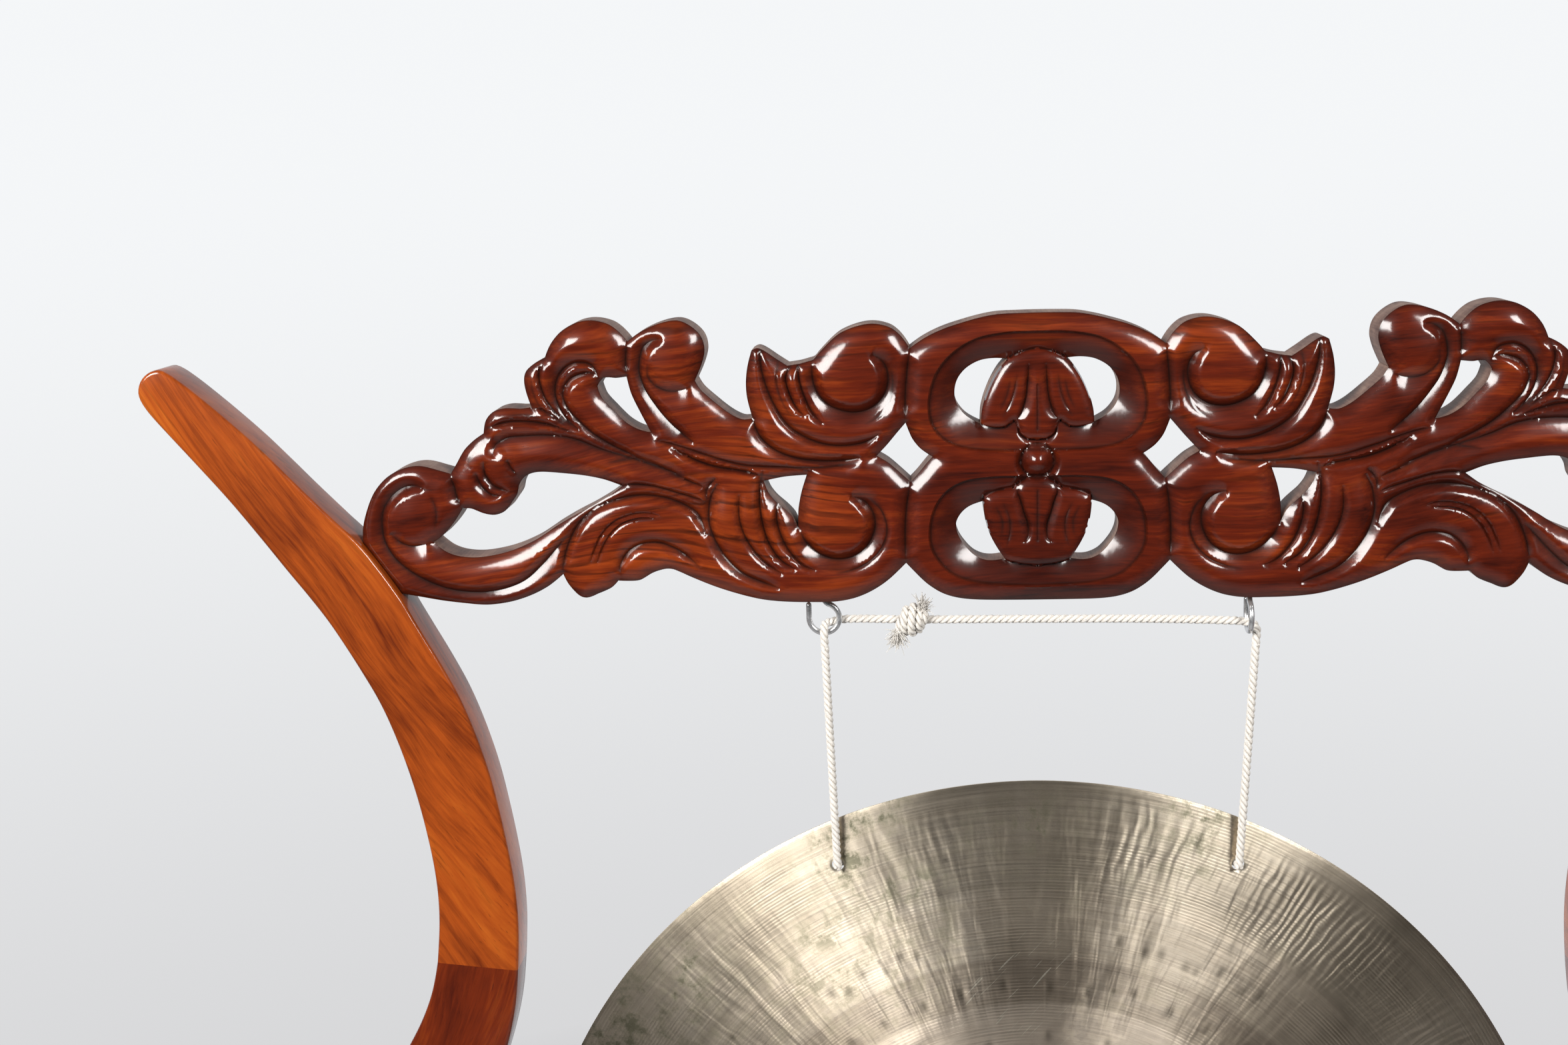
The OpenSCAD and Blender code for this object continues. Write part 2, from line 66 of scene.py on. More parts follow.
class Nodes:
    """Short calls for the nodes of one material or world."""

    def __init__(self, tree):
        self.tree = tree

    def feed(self, socket, value):
        """Links a node's output to a socket, or sets the socket's own value."""
        if isinstance(value, bpy.types.NodeSocket):
            self.tree.links.new(value, socket)
        else:
            socket.default_value = value

    def node(self, kind, inputs=(), **settings):
        made = self.tree.nodes.new(kind)
        for name, value in settings.items():
            setattr(made, name, value)
        for name, value in dict(inputs).items():
            self.feed(made.inputs[name], value)
        return made

    def maths(self, operation, a, b=0.0):
        return self.node("ShaderNodeMath", {0: a, 1: b}, operation=operation).outputs["Value"]

    def times(self, a, b):
        return self.maths("MULTIPLY", a, b)

    def weighed(self, *pairs):
        """The sum of values, each times its weight."""
        total = None
        for value, weight in pairs:
            term = value if weight == 1 else self.times(value, weight)
            total = term if total is None else self.maths("ADD", total, term)
        return total

    def vector(self, operation, a, b=(0, 0, 0)):
        made = self.node("ShaderNodeVectorMath", {0: a, 1: b}, operation=operation)
        return made.outputs["Value" if operation in ("LENGTH", "DISTANCE") else "Vector"]

    def mix(self, factor, a, b):
        return self.node("ShaderNodeMix", {0: factor, 6: a, 7: b}, data_type="RGBA").outputs[2]

    def tinted(self, colour, mask, strength, tint):
        """A colour that turns into tint by up to strength where mask is 1."""
        return self.mix(self.times(mask, strength), colour, (*tint, 1))

    def levels(self, value, low, high, out_low=0.0, out_high=1.0, kind="LINEAR"):
        return self.node("ShaderNodeMapRange", {
            "Value": value, "From Min": low, "From Max": high, "To Min": out_low, "To Max": out_high,
        }, interpolation_type=kind).outputs["Result"]


class Shader(Nodes):
    """A Principled material and the nodes that feed it."""

    def __init__(self, name):
        self.material = bpy.data.materials.new(name)
        self.material.use_nodes = True
        super().__init__(self.material.node_tree)

    def finished(self, values):
        """Sets the shader's own inputs by name, and gives its material."""
        for name, value in values.items():
            self.feed(self.tree.nodes["Principled BSDF"].inputs[name], value)
        return self.material

    def place(self):
        return self.node("ShaderNodeTexCoord").outputs["Object"]

    def mapped(self, vector, scale=(1, 1, 1), rotation=(0, 0, 0), location=(0, 0, 0)):
        return self.node("ShaderNodeMapping", {
            "Vector": vector, "Scale": scale, "Rotation": rotation, "Location": location,
        }).outputs["Vector"]

    def noise(self, vector, scale, detail=4.0, roughness=0.55, distortion=0.0):
        return self.node("ShaderNodeTexNoise", {
            "Vector": vector, "Scale": scale, "Detail": detail, "Roughness": roughness,
            "Distortion": distortion,
        }).outputs["Fac"]

    def stretched(self, vector, scale, detail=4.0, roughness=0.55):
        """Noise with a scale of its own along each axis."""
        return self.noise(self.mapped(vector, scale=scale), 1.0, detail, roughness)

    def ramp(self, value, stops):
        made = self.node("ShaderNodeValToRGB", {"Fac": value})
        elements = made.color_ramp.elements
        while len(elements) < len(stops):
            elements.new(0.5)
        for element, (at, colour) in zip(elements, stops):
            element.position = at
            element.color = (*colour, 1)
        return made.outputs["Color"]

    def attribute(self, name):
        return self.node("ShaderNodeAttribute", attribute_name=name).outputs["Fac"]

    def bump(self, height, strength, distance, below=None):
        inputs = {"Height": height, "Strength": strength, "Distance": distance}
        if below is not None:
            inputs["Normal"] = below
        return self.node("ShaderNodeBump", inputs).outputs["Normal"]


# ---------------------------------------------------------------- camera, lights, floor

CAMERA_AT = Vector((-0.065, -1.003, 1.095))
CAMERA_YAW, CAMERA_PITCH, CAMERA_ROLL = -4.14, -11.34, -1.62
LENS, SENSOR = 42.9, 36.0
LIT_PLACE = Vector((0, 0, 0.8))
# name, place, width and height, power in watts, colour
SOFTBOXES = [
    ("key_softbox", (-1.55, -1.6, 1.85), (1.10, 0.95), 86, (1.0, 0.985, 0.96)),
    ("fill_softbox", (1.35, -1.6, 2.0), (0.66, 0.90), 49, (1.0, 0.99, 0.97)),
]
FLOOR_HALF = 2.4


def add_object(name, data):
    made = bpy.data.objects.new(name, data)
    bpy.context.scene.collection.objects.link(made)
    return made


def add_camera():
    """The viewpoint: close, a little above the gong, looking slightly down and to the left."""
    yaw, pitch, roll = (math.radians(a) for a in (CAMERA_YAW, CAMERA_PITCH, CAMERA_ROLL))
    ahead = Vector((math.sin(yaw) * math.cos(pitch), math.cos(yaw) * math.cos(pitch), math.sin(pitch)))
    right = Vector((math.cos(yaw), -math.sin(yaw), 0))
    up = right.cross(ahead)
    side = math.cos(roll) * right + math.sin(roll) * up
    top = math.cos(roll) * up - math.sin(roll) * right
    data = bpy.data.cameras.new("camera")
    data.lens, data.sensor_width = LENS, SENSOR
    camera = add_object("camera", data)
    camera.matrix_world = Matrix((
        (side.x, top.x, -ahead.x, CAMERA_AT.x),
        (side.y, top.y, -ahead.y, CAMERA_AT.y),
        (side.z, top.z, -ahead.z, CAMERA_AT.z),
        (0, 0, 0, 1),
    ))
    bpy.context.scene.camera = camera


def add_lights():
    """Two softboxes in front, left and right, and a studio that is bright behind and dim in front."""
    for name, at, size, power, colour in SOFTBOXES:
        data = bpy.data.lights.new(name, "AREA")
        data.shape = "RECTANGLE"
        data.size, data.size_y = size
        data.energy, data.color = power, colour
        light = add_object(name, data)
        light.location = at
        light.rotation_mode = "QUATERNION"
        light.rotation_quaternion = (LIT_PLACE - Vector(at)).to_track_quat("-Z", "Y")
    world = bpy.data.worlds.new("studio")
    bpy.context.scene.world = world
    world.use_nodes = True
    studio = Nodes(world.node_tree)
    way = studio.node("ShaderNodeTexCoord").outputs["Generated"]
    way = studio.node("ShaderNodeSeparateXYZ", {"Vector": way}).outputs
    # what the camera sees of the studio: pale, with painted shade that darkens it towards the bottom
    upwards = studio.levels(way["Z"], -0.55, 0.02, kind="SMOOTHSTEP")
    behind = studio.levels(way["Y"], -0.10, 0.85, kind="SMOOTHSTEP")
    seen = studio.mix(upwards, (0.66, 0.66, 0.67, 1), (0.91, 0.925, 0.94, 1))
    shining = studio.mix(behind, (0.055, 0.055, 0.057, 1), (0.66, 0.67, 0.69, 1))
    camera_ray = studio.node("ShaderNodeLightPath").outputs["Is Camera Ray"]
    studio.feed(world.node_tree.nodes["Background"].inputs["Color"], studio.mix(camera_ray, shining, seen))
    bpy.context.scene.view_settings.view_transform = "Standard"


def add_floor():
    """A pale floor that fades into the studio's own colour further out, and is darker in reflections."""
    mesh = bpy.data.meshes.new("floor")
    corners = [(x * FLOOR_HALF, y * FLOOR_HALF, 0) for x, y in ((-1, -1), (1, -1), (1, 1), (-1, 1))]
    mesh.from_pydata(corners, [], [(0, 1, 2, 3)])
    floor = add_object("floor", mesh)
    s = Shader("floor_paint")
    mirrored = s.node("ShaderNodeLightPath").outputs["Is Glossy Ray"]
    mesh.materials.append(s.finished({
        "Alpha": s.levels(s.vector("LENGTH", s.place()), 0.5, 1.3, 1.0, 0.0),
        "Base Color": s.mix(mirrored, (0.60, 0.60, 0.61, 1), (0.32, 0.32, 0.325, 1)),
        "Roughness": 0.8, "Specular IOR Level": 0.2,
    }))


# ---------------------------------------------------------------- materials

def lacquered_wood(name, light, mid, dark, grain_angle, seed, cavity_shade=False, figure=0.5, blotch=0.3):
    """Clear-lacquered hardwood. grain_angle turns the grain in the board's face, from +X, in degrees."""
    s = Shader(name)
    turned = s.mapped(
        s.place(), rotation=(0, math.radians(grain_angle), 0), location=(seed, seed * 0.37, 0)
    )
    bend = s.stretched(turned, (3.0, 7, 7), 2.0, 0.5)
    wander = s.node("ShaderNodeCombineXYZ", {"X": 0.0, "Y": s.times(bend, 0.05), "Z": s.times(bend, 0.10)})
    along = s.vector("ADD", turned, wander.outputs["Vector"])
    cloud = s.stretched(turned, (9, 14, 14), 4.0, 0.6)
    broad = s.stretched(along, (5, 34, 46), 4.0, 0.6)
    streak = s.stretched(along, (15, 170, 250), 4.0, 0.65)
    fibre = s.stretched(along, (38, 700, 900), 3.0, 0.6)
    pore = s.stretched(along, (95, 1700, 2100), 2.0, 0.5)
    rings = s.node("ShaderNodeTexWave", {
        "Vector": s.mapped(along, scale=(0.5, 1.6, 4.6)), "Scale": 11.0, "Distortion": 9.0,
        "Detail": 4.0, "Detail Scale": 1.3, "Detail Roughness": 0.65,
    }, wave_type="BANDS", bands_direction="Z").outputs["Fac"]

    tone = s.weighed((broad, 0.70 - blotch), (cloud, blotch), (streak, 0.30), (fibre, 0.12))
    colour = s.ramp(tone, [(0.42, dark), (0.56, mid), (0.74, light)])
    shown = s.times(s.levels(rings, 0.62, 0.96), s.levels(cloud, 0.42, 0.62))
    shown = s.times(shown, s.levels(streak, 0.30, 0.62))
    line = s.levels(streak, 0.60, 0.74)
    speck = s.levels(pore, 0.66, 0.74)
    for mask, strength, share in ((shown, figure, 0.45), (line, 0.70, 0.45), (speck, 0.45, 0.30)):
        colour = s.tinted(colour, mask, strength, [c * share for c in dark])
    if cavity_shade:
        # painted shade: the colour darkens in the carving's hollows, the deeper the darker
        painted_shade = s.levels(s.weighed((s.attribute("cavity_shade"), 1), (cloud, 0.3)), 0.30, 1.25)
        colour = s.tinted(colour, painted_shade, 0.72, (0.020, 0.0036, 0.0022))
        # painted shade: a dark line painted along each groove's crease
        colour = s.tinted(colour, s.attribute("crease"), 0.85, (0.010, 0.004, 0.003))
    peel = s.weighed((s.noise(s.place(), 260.0, 2.0), 1), (speck, -0.35))
    ripple = s.bump(s.noise(s.place(), 60.0, 3.0, 0.5), 0.16, 0.0014)
    return s.finished({
        "Base Color": colour,
        "Roughness": s.levels(s.weighed((fibre, 1), (speck, 0.6)), 0.3, 1.4, 0.34, 0.55),
        "Normal": s.bump(s.weighed((fibre, 0.35), (speck, -1.0)), 0.20, 0.00018),
        "Coat Normal": s.bump(peel, 0.10, 0.00016, ripple),
        "Coat Weight": 0.85, "Coat Roughness": 0.135, "Coat IOR": 1.5, "IOR": 1.5,
        "Specular IOR Level": 0.08,
    })


def bare_wood(name):
    s = Shader(name)
    fibre = s.stretched(s.place(), (420, 420, 30), 3.0)
    return s.finished({
        "Base Color": s.ramp(fibre, [(0.3, (0.42, 0.27, 0.13)), (0.7, (0.66, 0.47, 0.27))]),
        "Normal": s.bump(fibre, 0.3, 0.0002), "Roughness": 0.65,
    })


def sawn_wood(name):
    """The thinly lacquered walls that the fretsaw left round the carving."""
    s = Shader(name)
    cloud = s.noise(s.place(), 55.0, 4.0, 0.65)
    marks = s.stretched(s.place(), (900, 40, 900), 3.0, 0.6)
    return s.finished({
        "Base Color": s.ramp(s.weighed((cloud, 0.7), (marks, 0.3)), [
            (0.36, (0.075, 0.030, 0.020)), (0.52, (0.19, 0.105, 0.075)), (0.68, (0.30, 0.20, 0.15)),
        ]),
        "Normal": s.bump(marks, 0.25, 0.0003), "Roughness": 0.5, "Specular IOR Level": 0.3,
    })


def gong_bronze(centre_z):
    """Hammered, lathed and hand-scraped bronze with uneven patina, and painted reflection fans and painted
    band shading in its colour.
    """
    s = Shader("gong_bronze")
    place = s.vector("SUBTRACT", s.place(), (0, 0, centre_z))
    flat = s.mapped(place, scale=(1, 0, 1))
    radius = s.vector("LENGTH", flat)
    parts = s.node("ShaderNodeSeparateXYZ", {"Vector": place}).outputs
    angle = s.maths("ARCTAN2", parts["X"], parts["Z"])

    def polar(along_radius, along_angle, layer=0.0):
        return s.node("ShaderNodeCombineXYZ", {
            "X": s.times(radius, along_radius), "Y": s.times(angle, along_angle), "Z": layer,
        }).outputs["Vector"]

    def between(value, low, high, soft):
        return s.times(s.levels(value, low, low + soft), s.levels(value, high - soft, high, 1.0, 0.0))

    fine = s.noise(polar(1100.0, 3.0), 1.0, 2.0, 0.6)
    weave = s.noise(polar(30.0, 6.0, 2.0), 1.0, 2.0)
    groove = s.maths("SINE", s.weighed((radius, 3400.0), (weave, 6.0)))
    groove = s.times(groove, s.levels(s.noise(polar(26.0, 2.2, 4.0), 1.0, 2.0), 0.42, 0.60))
    turned = s.noise(polar(480.0, 1.4, 3.0), 1.0, 3.0, 0.6)
    coarse = s.noise(polar(210.0, 0.8, 7.0), 1.0, 2.0, 0.5)
    blotch = s.noise(flat, 8.0, 5.0, 0.62, 0.5)
    spots = s.noise(flat, 70.0, 5.0, 0.72)
    # painted reflection: broad radial streaks in the colour, standing in for the bright and dark fans of
    # the lathed face
    fan_sheen = s.noise(polar(2.0, 3.4, 5.0), 1.0, 4.0, 0.6, 0.4)

    colour = s.ramp(s.weighed((blotch, 0.42), (fan_sheen, 0.40), (turned, 0.20)), [
        (0.34, (0.42, 0.350, 0.265)), (0.46, (0.68, 0.575, 0.445)),
        (0.57, (0.88, 0.765, 0.615)), (0.72, (0.96, 0.87, 0.73)),
    ])
    # the lathe's bands, with painted shade and painted highlight for each band's tilt: a dark one, the
    # rim's, and the pale middle
    colour = s.tinted(colour, between(radius, 0.168, 0.199, 0.003), 0.42, (0.30, 0.235, 0.185))
    colour = s.tinted(colour, s.levels(radius, 0.236, 0.239), 0.20, (0.40, 0.36, 0.27))
    colour = s.tinted(colour, s.levels(radius, 0.168, 0.171, 1.0, 0.0), 0.38, (0.93, 0.79, 0.66))
    colour = s.mix(s.levels(groove, 0.2, 1.0, 0.0, 0.20), colour, (0.22, 0.18, 0.13, 1))
    scored = s.times(s.levels(turned, 0.58, 0.70), s.levels(coarse, 0.40, 0.60))
    colour = s.tinted(colour, scored, 0.22, (0.20, 0.16, 0.11))
    # green tarnish, everywhere at the left edge and in patches elsewhere
    left_edge = s.vector("DISTANCE", flat, (-0.255, 0, 0.115))
    patch = s.maths("MAXIMUM", s.levels(blotch, 0.47, 0.60), s.levels(left_edge, 0.04, 0.15, 1, 0))
    tarnish = s.times(s.levels(spots, 0.44, 0.60), patch)
    colour = s.tinted(colour, tarnish, s.levels(radius, 0.14, 0.29, 0.25, 0.85), (0.135, 0.140, 0.085))
    # bright slanting nicks above the middle
    slanted = s.mapped(flat, rotation=(0, math.radians(48), 0), location=(0.3, 0, 0.1))
    nick = s.levels(s.stretched(slanted, (38, 1, 760), 1.0), 0.655, 0.68)
    nicked = s.levels(s.vector("DISTANCE", flat, (-0.012, 0, 0.172)), 0.025, 0.048, 1.0, 0.0)
    colour = s.tinted(colour, s.times(nick, nicked), 0.8, (0.97, 0.90, 0.74))
    colour = s.tinted(colour, s.attribute("worn"), 0.55, (0.10, 0.085, 0.06))
    colour = s.tinted(colour, s.attribute("lip"), 0.6, (0.95, 0.88, 0.74))
    rough = s.levels(s.weighed((blotch, 0.5), (fine, 0.5)), 0.35, 0.65, 0.32, 0.45)

    # hammer ripples round the rim, to the right of the top and a few to the left
    strokes = 0.0
    for count, first, last, inner, outer in (
        (225.0, 0.09, 0.52, 0.243, 0.297),
        (370.0, 0.42, 1.10, 0.236, 0.292),
        (240.0, -0.26, -0.10, 0.250, 0.290),
    ):
        drift = s.noise(polar(22.0, 12.0, count), 1.0, 2.0)
        wave = s.maths("SINE", s.weighed((angle, count), (drift, 16.0)))
        held = s.times(between(angle, first, last, 0.08), between(radius, inner, outer, 0.014))
        strokes = s.maths("ADD", strokes, s.times(wave, held))
    folds = s.noise(polar(20.0, 24.0, 9.0), 1.0, 2.0, 0.5, 0.3)
    folds = s.times(folds, between(radius, 0.15, 0.30, 0.03))
    lathe_marks = s.weighed((fine, 0.5), (turned, 1), (coarse, 0.3), (groove, -0.35))
    normal = s.bump(lathe_marks, 0.45, 0.00022)
    normal = s.bump(strokes, 0.36, 0.00020, normal)
    normal = s.bump(folds, 0.40, 0.0016, normal)
    normal = s.bump(s.noise(flat, 40.0, 3.0, 0.5), 0.25, 0.0010, normal)
    tangent = s.node("ShaderNodeTangent", direction_type="RADIAL", axis="Y").outputs["Tangent"]
    return s.finished({
        "Base Color": colour, "Roughness": s.weighed((rough, 1), (tarnish, 0.2)), "Normal": normal,
        "Tangent": tangent, "Metallic": 1.0, "Anisotropic": 0.85, "Anisotropic Rotation": 0.25,
    })


def cotton():
    s = Shader("cotton_rope")
    yarn = s.node("ShaderNodeTexWave", {
        "Vector": s.node("ShaderNodeTexCoord").outputs["UV"], "Scale": 1.0, "Distortion": 1.2,
        "Detail": 3.0, "Detail Scale": 4.0,
    }, wave_type="BANDS", bands_direction="DIAGONAL").outputs["Fac"]
    fluff = s.noise(s.place(), 1500.0, 4.0, 0.7)
    soil = s.noise(s.place(), 60.0, 3.0)
    colour = s.ramp(s.weighed((yarn, 0.45), (fluff, 0.35), (soil, 0.25)), [
        (0.25, (0.72, 0.67, 0.60)), (0.55, (0.84, 0.80, 0.745)), (0.85, (0.92, 0.90, 0.87)),
    ])
    return s.finished({
        # painted shade: the strands darken where they lie deep between each other
        "Base Color": s.tinted(colour, s.attribute("sunk"), 0.55, (0.42, 0.35, 0.27)),
        "Normal": s.bump(s.weighed((yarn, 1), (fluff, 1)), 0.55, 0.0003),
        "Roughness": 0.92, "Sheen Weight": 0.35, "Sheen Roughness": 0.5, "Specular IOR Level": 0.15,
    })


def plated_steel(name, base, roughness, metallic=1.0):
    s = Shader(name)
    cloud = s.noise(s.place(), 220.0, 4.0, 0.6)
    scratch = s.stretched(s.place(), (900, 900, 90), 2.0)
    return s.finished({
        "Base Color": s.ramp(cloud, [(0.3, tuple(c * 0.72 for c in base)), (0.7, base)]),
        "Roughness": s.levels(cloud, 0.3, 0.7, roughness * 0.75, roughness * 1.35),
        "Normal": s.bump(s.weighed((cloud, 1), (scratch, 1)), 0.15, 0.0001), "Metallic": metallic,
    })


def rubber():
    s = Shader("rubber")
    grit = s.noise(s.place(), 700.0, 4.0)
    return s.finished({
        "Base Color": s.ramp(grit, [(0.3, (0.018, 0.018, 0.018)), (0.7, (0.045, 0.043, 0.042))]),
        "Normal": s.bump(grit, 0.4, 0.0002), "Roughness": 0.8,
    })


# ---------------------------------------------------------------- curves and outlines

def spline(points, spacing, closed=False):
    """A centripetal Catmull-Rom curve through points, sampled about every spacing."""
    p = np.asarray(points, float)
    if closed:
        p = np.vstack([p[-1], p, p[0], p[1]])
    else:
        p = np.vstack([2 * p[0] - p[1], p, 2 * p[-1] - p[-2]])
    out = []
    for a, b, c, d in zip(p[:-3], p[1:-2], p[2:-1], p[3:]):
        t1 = max(np.linalg.norm(b - a), 1e-9) ** 0.5
        t2 = t1 + max(np.linalg.norm(c - b), 1e-9) ** 0.5
        t3 = t2 + max(np.linalg.norm(d - c), 1e-9) ** 0.5
        count = max(1, int(math.ceil(np.linalg.norm(c - b) / spacing)))
        t = (t1 + (t2 - t1) * np.arange(count) / count)[:, None]
        ab = (t1 - t) / t1 * a + t / t1 * b
        bc = (t2 - t) / (t2 - t1) * b + (t - t1) / (t2 - t1) * c
        cd = (t3 - t) / (t3 - t2) * c + (t - t2) / (t3 - t2) * d
        abc = (t2 - t) / t2 * ab + t / t2 * bc
        bcd = (t3 - t) / (t3 - t1) * bc + (t - t1) / (t3 - t1) * cd
        out.append((t2 - t) / (t2 - t1) * abc + (t - t1) / (t2 - t1) * bcd)
    out = np.vstack(out)
    return out if closed else np.vstack([out, p[-2]])


def tree_of(points):
    """A search tree of points with two or three coordinates."""
    tree = KDTree(len(points))
    for i, p in enumerate(points):
        tree.insert((*p, 0)[:3], i)
    tree.balance()
    return tree


def face_loops(node, axis):
    """The outlines of a CAD node's flat face at its low end along an axis, the largest first."""
    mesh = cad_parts[node].data
    co = np.array([v.co for v in mesh.vertices])
    level = co[:, axis].min()
    others = [k for k in range(3) if k != axis]
    names = {}
    where = [names.setdefault(tuple(np.round(v * 1e5).astype(int)), len(names)) for v in co]
    places = dict(zip(where, co))
    count = {}
    for polygon in mesh.polygons:
        corners = [where[i] for i in polygon.vertices]
        if all(abs(places[c][axis] - level) < 1e-5 for c in corners):
            for a, b in zip(corners, corners[1:] + corners[:1]):
                if a != b:
                    count[frozenset((a, b))] = count.get(frozenset((a, b)), 0) + 1
    linked = {}
    for edge, times in count.items():
        if times == 1:
            a, b = edge
            linked.setdefault(a, []).append(b)
            linked.setdefault(b, []).append(a)
    loops, seen = [], set()
    for start in linked:
        if start in seen:
            continue
        loop, here, before = [], start, None
        while here not in seen:
            seen.add(here)
            loop.append(places[here][others])
            ahead = [n for n in linked[here] if n != before]
            before, here = here, ahead[0]
        loops.append(np.array(loop))
    loops.sort(key=lambda l: -abs(signed_area(l)))
    return [l if signed_area(l) > 0 else l[::-1] for l in loops]


def signed_area(loop):
    x, y = loop[:, 0], loop[:, 1]
    return 0.5 * float(np.sum(x * np.roll(y, -1) - np.roll(x, -1) * y))


def rounded_loop(loop, spacing, corner=35.0):
    """A loop resampled smoothly between its sharp corners."""
    back = loop - np.roll(loop, 1, 0)
    ahead = np.roll(loop, -1, 0) - loop
    turn = np.degrees(np.abs(np.arctan2(
        back[:, 0] * ahead[:, 1] - back[:, 1] * ahead[:, 0], (back * ahead).sum(1)
    )))
    corners = np.flatnonzero(turn > corner)
    if not len(corners):
        return spline(loop, spacing, closed=True)
    out = []
    for i, j in zip(corners, np.roll(corners, -1)):
        stop = j if j > i else j + len(loop)
        out.append(spline(loop[np.arange(i, stop + 1) % len(loop)], spacing)[:-1])
    return np.vstack(out)


def shifted(line, tangent, distance):
    """A line moved to its left by distance, by the tangents along it."""
    tangent = tangent / np.maximum(np.linalg.norm(tangent, axis=1, keepdims=True), 1e-12)
    return line + distance * np.stack([-tangent[:, 1], tangent[:, 0]], 1)


def inward(loop, distance):
    """A counter-clockwise loop moved to its left."""
    return shifted(loop, np.roll(loop, -1, 0) - np.roll(loop, 1, 0), distance)


def parallel(line, offset):
    """An open line moved to its left."""
    return shifted(line, np.gradient(line, axis=0), offset)


def thinned(points, gap):
    """Points without those that stand closer than gap to an earlier one."""
    cells, kept = {}, []
    for p in points:
        cell = (int(p[0] // gap), int(p[1] // gap))
        near = [cells.get((cell[0] + i, cell[1] + j)) for i in (-1, 0, 1) for j in (-1, 0, 1)]
        if all(q is None or math.hypot(*(p - q)) > gap for q in near):
            cells[cell] = p
            kept.append(p)
    return np.array(kept)


def filled(loops, inner, epsilon):
    """Points and triangles that fill the first loop round the others, through inner points."""
    starts = np.cumsum([0] + [len(l) for l in loops])
    rims = [list(range(a, b)) for a, b in zip(starts, starts[1:])]
    points = [Vector(p) for p in np.vstack([*loops, inner])]
    made, _, triangles, _, _, covered = delaunay_2d_cdt(points, [], rims, 0, epsilon)
    kept = [tuple(t) for t, over in zip(triangles, covered) if list(over) == [0]]
    return np.array([tuple(v) for v in made]), kept


def add_piece(name, mesh, smooth, material, body, replaces):
    """A mesh as a piece that rides on a body, smooth where its faces turn by less than an angle."""
    mesh.shade_smooth()
    if smooth < 180:
        mesh.set_sharp_from_angle(angle=math.radians(smooth))
    mesh.materials.append(material)
    piece = add_object(name, mesh)
    if body:
        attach(piece, body)
    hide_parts(*replaces)
    return piece


def new_piece(name, vertices, faces, material, body, replaces, smooth=40.0):
    mesh = bpy.data.meshes.new(name)
    mesh.from_pydata([tuple(v) for v in vertices], [], [tuple(f) for f in faces])
    mesh.validate()
    shape = bmesh.new()
    shape.from_mesh(mesh)
    bmesh.ops.recalc_face_normals(shape, faces=shape.faces)
    shape.to_mesh(mesh)
    shape.free()
    return add_piece(name, mesh, smooth, material, body, replaces)


def store_values(piece, name, values):
    """Keeps a number for each of a piece's vertices, for its material to read; 0 past those given."""
    every = np.zeros(len(piece.data.vertices), np.float32)
    every[:len(values)] = values[:len(every)]
    piece.data.attributes.new(name, "FLOAT", "POINT").data.foreach_set("value", every)


TURNED_SIDES = 48


def lathe(profile):
    """Vertices and faces of a profile of (radius, height) turned about Z, from axis to axis."""
    vertices, faces, rings = [], [], []
    for r, z in profile:
        if r < 1e-9:
            rings.append([len(vertices)] * TURNED_SIDES)
            vertices.append((0, 0, z))
        else:
            rings.append(list(range(len(vertices), len(vertices) + TURNED_SIDES)))
            turns = (2 * math.pi * k / TURNED_SIDES for k in range(TURNED_SIDES))
            vertices += [(r * math.cos(a), r * math.sin(a), z) for a in turns]
    for low, high in zip(rings, rings[1:]):
        for k in range(TURNED_SIDES):
            n = (k + 1) % TURNED_SIDES
            faces.append(tuple(dict.fromkeys((low[k], low[n], high[n], high[k]))))
    return vertices, faces


# ---------------------------------------------------------------- the carved crossbar

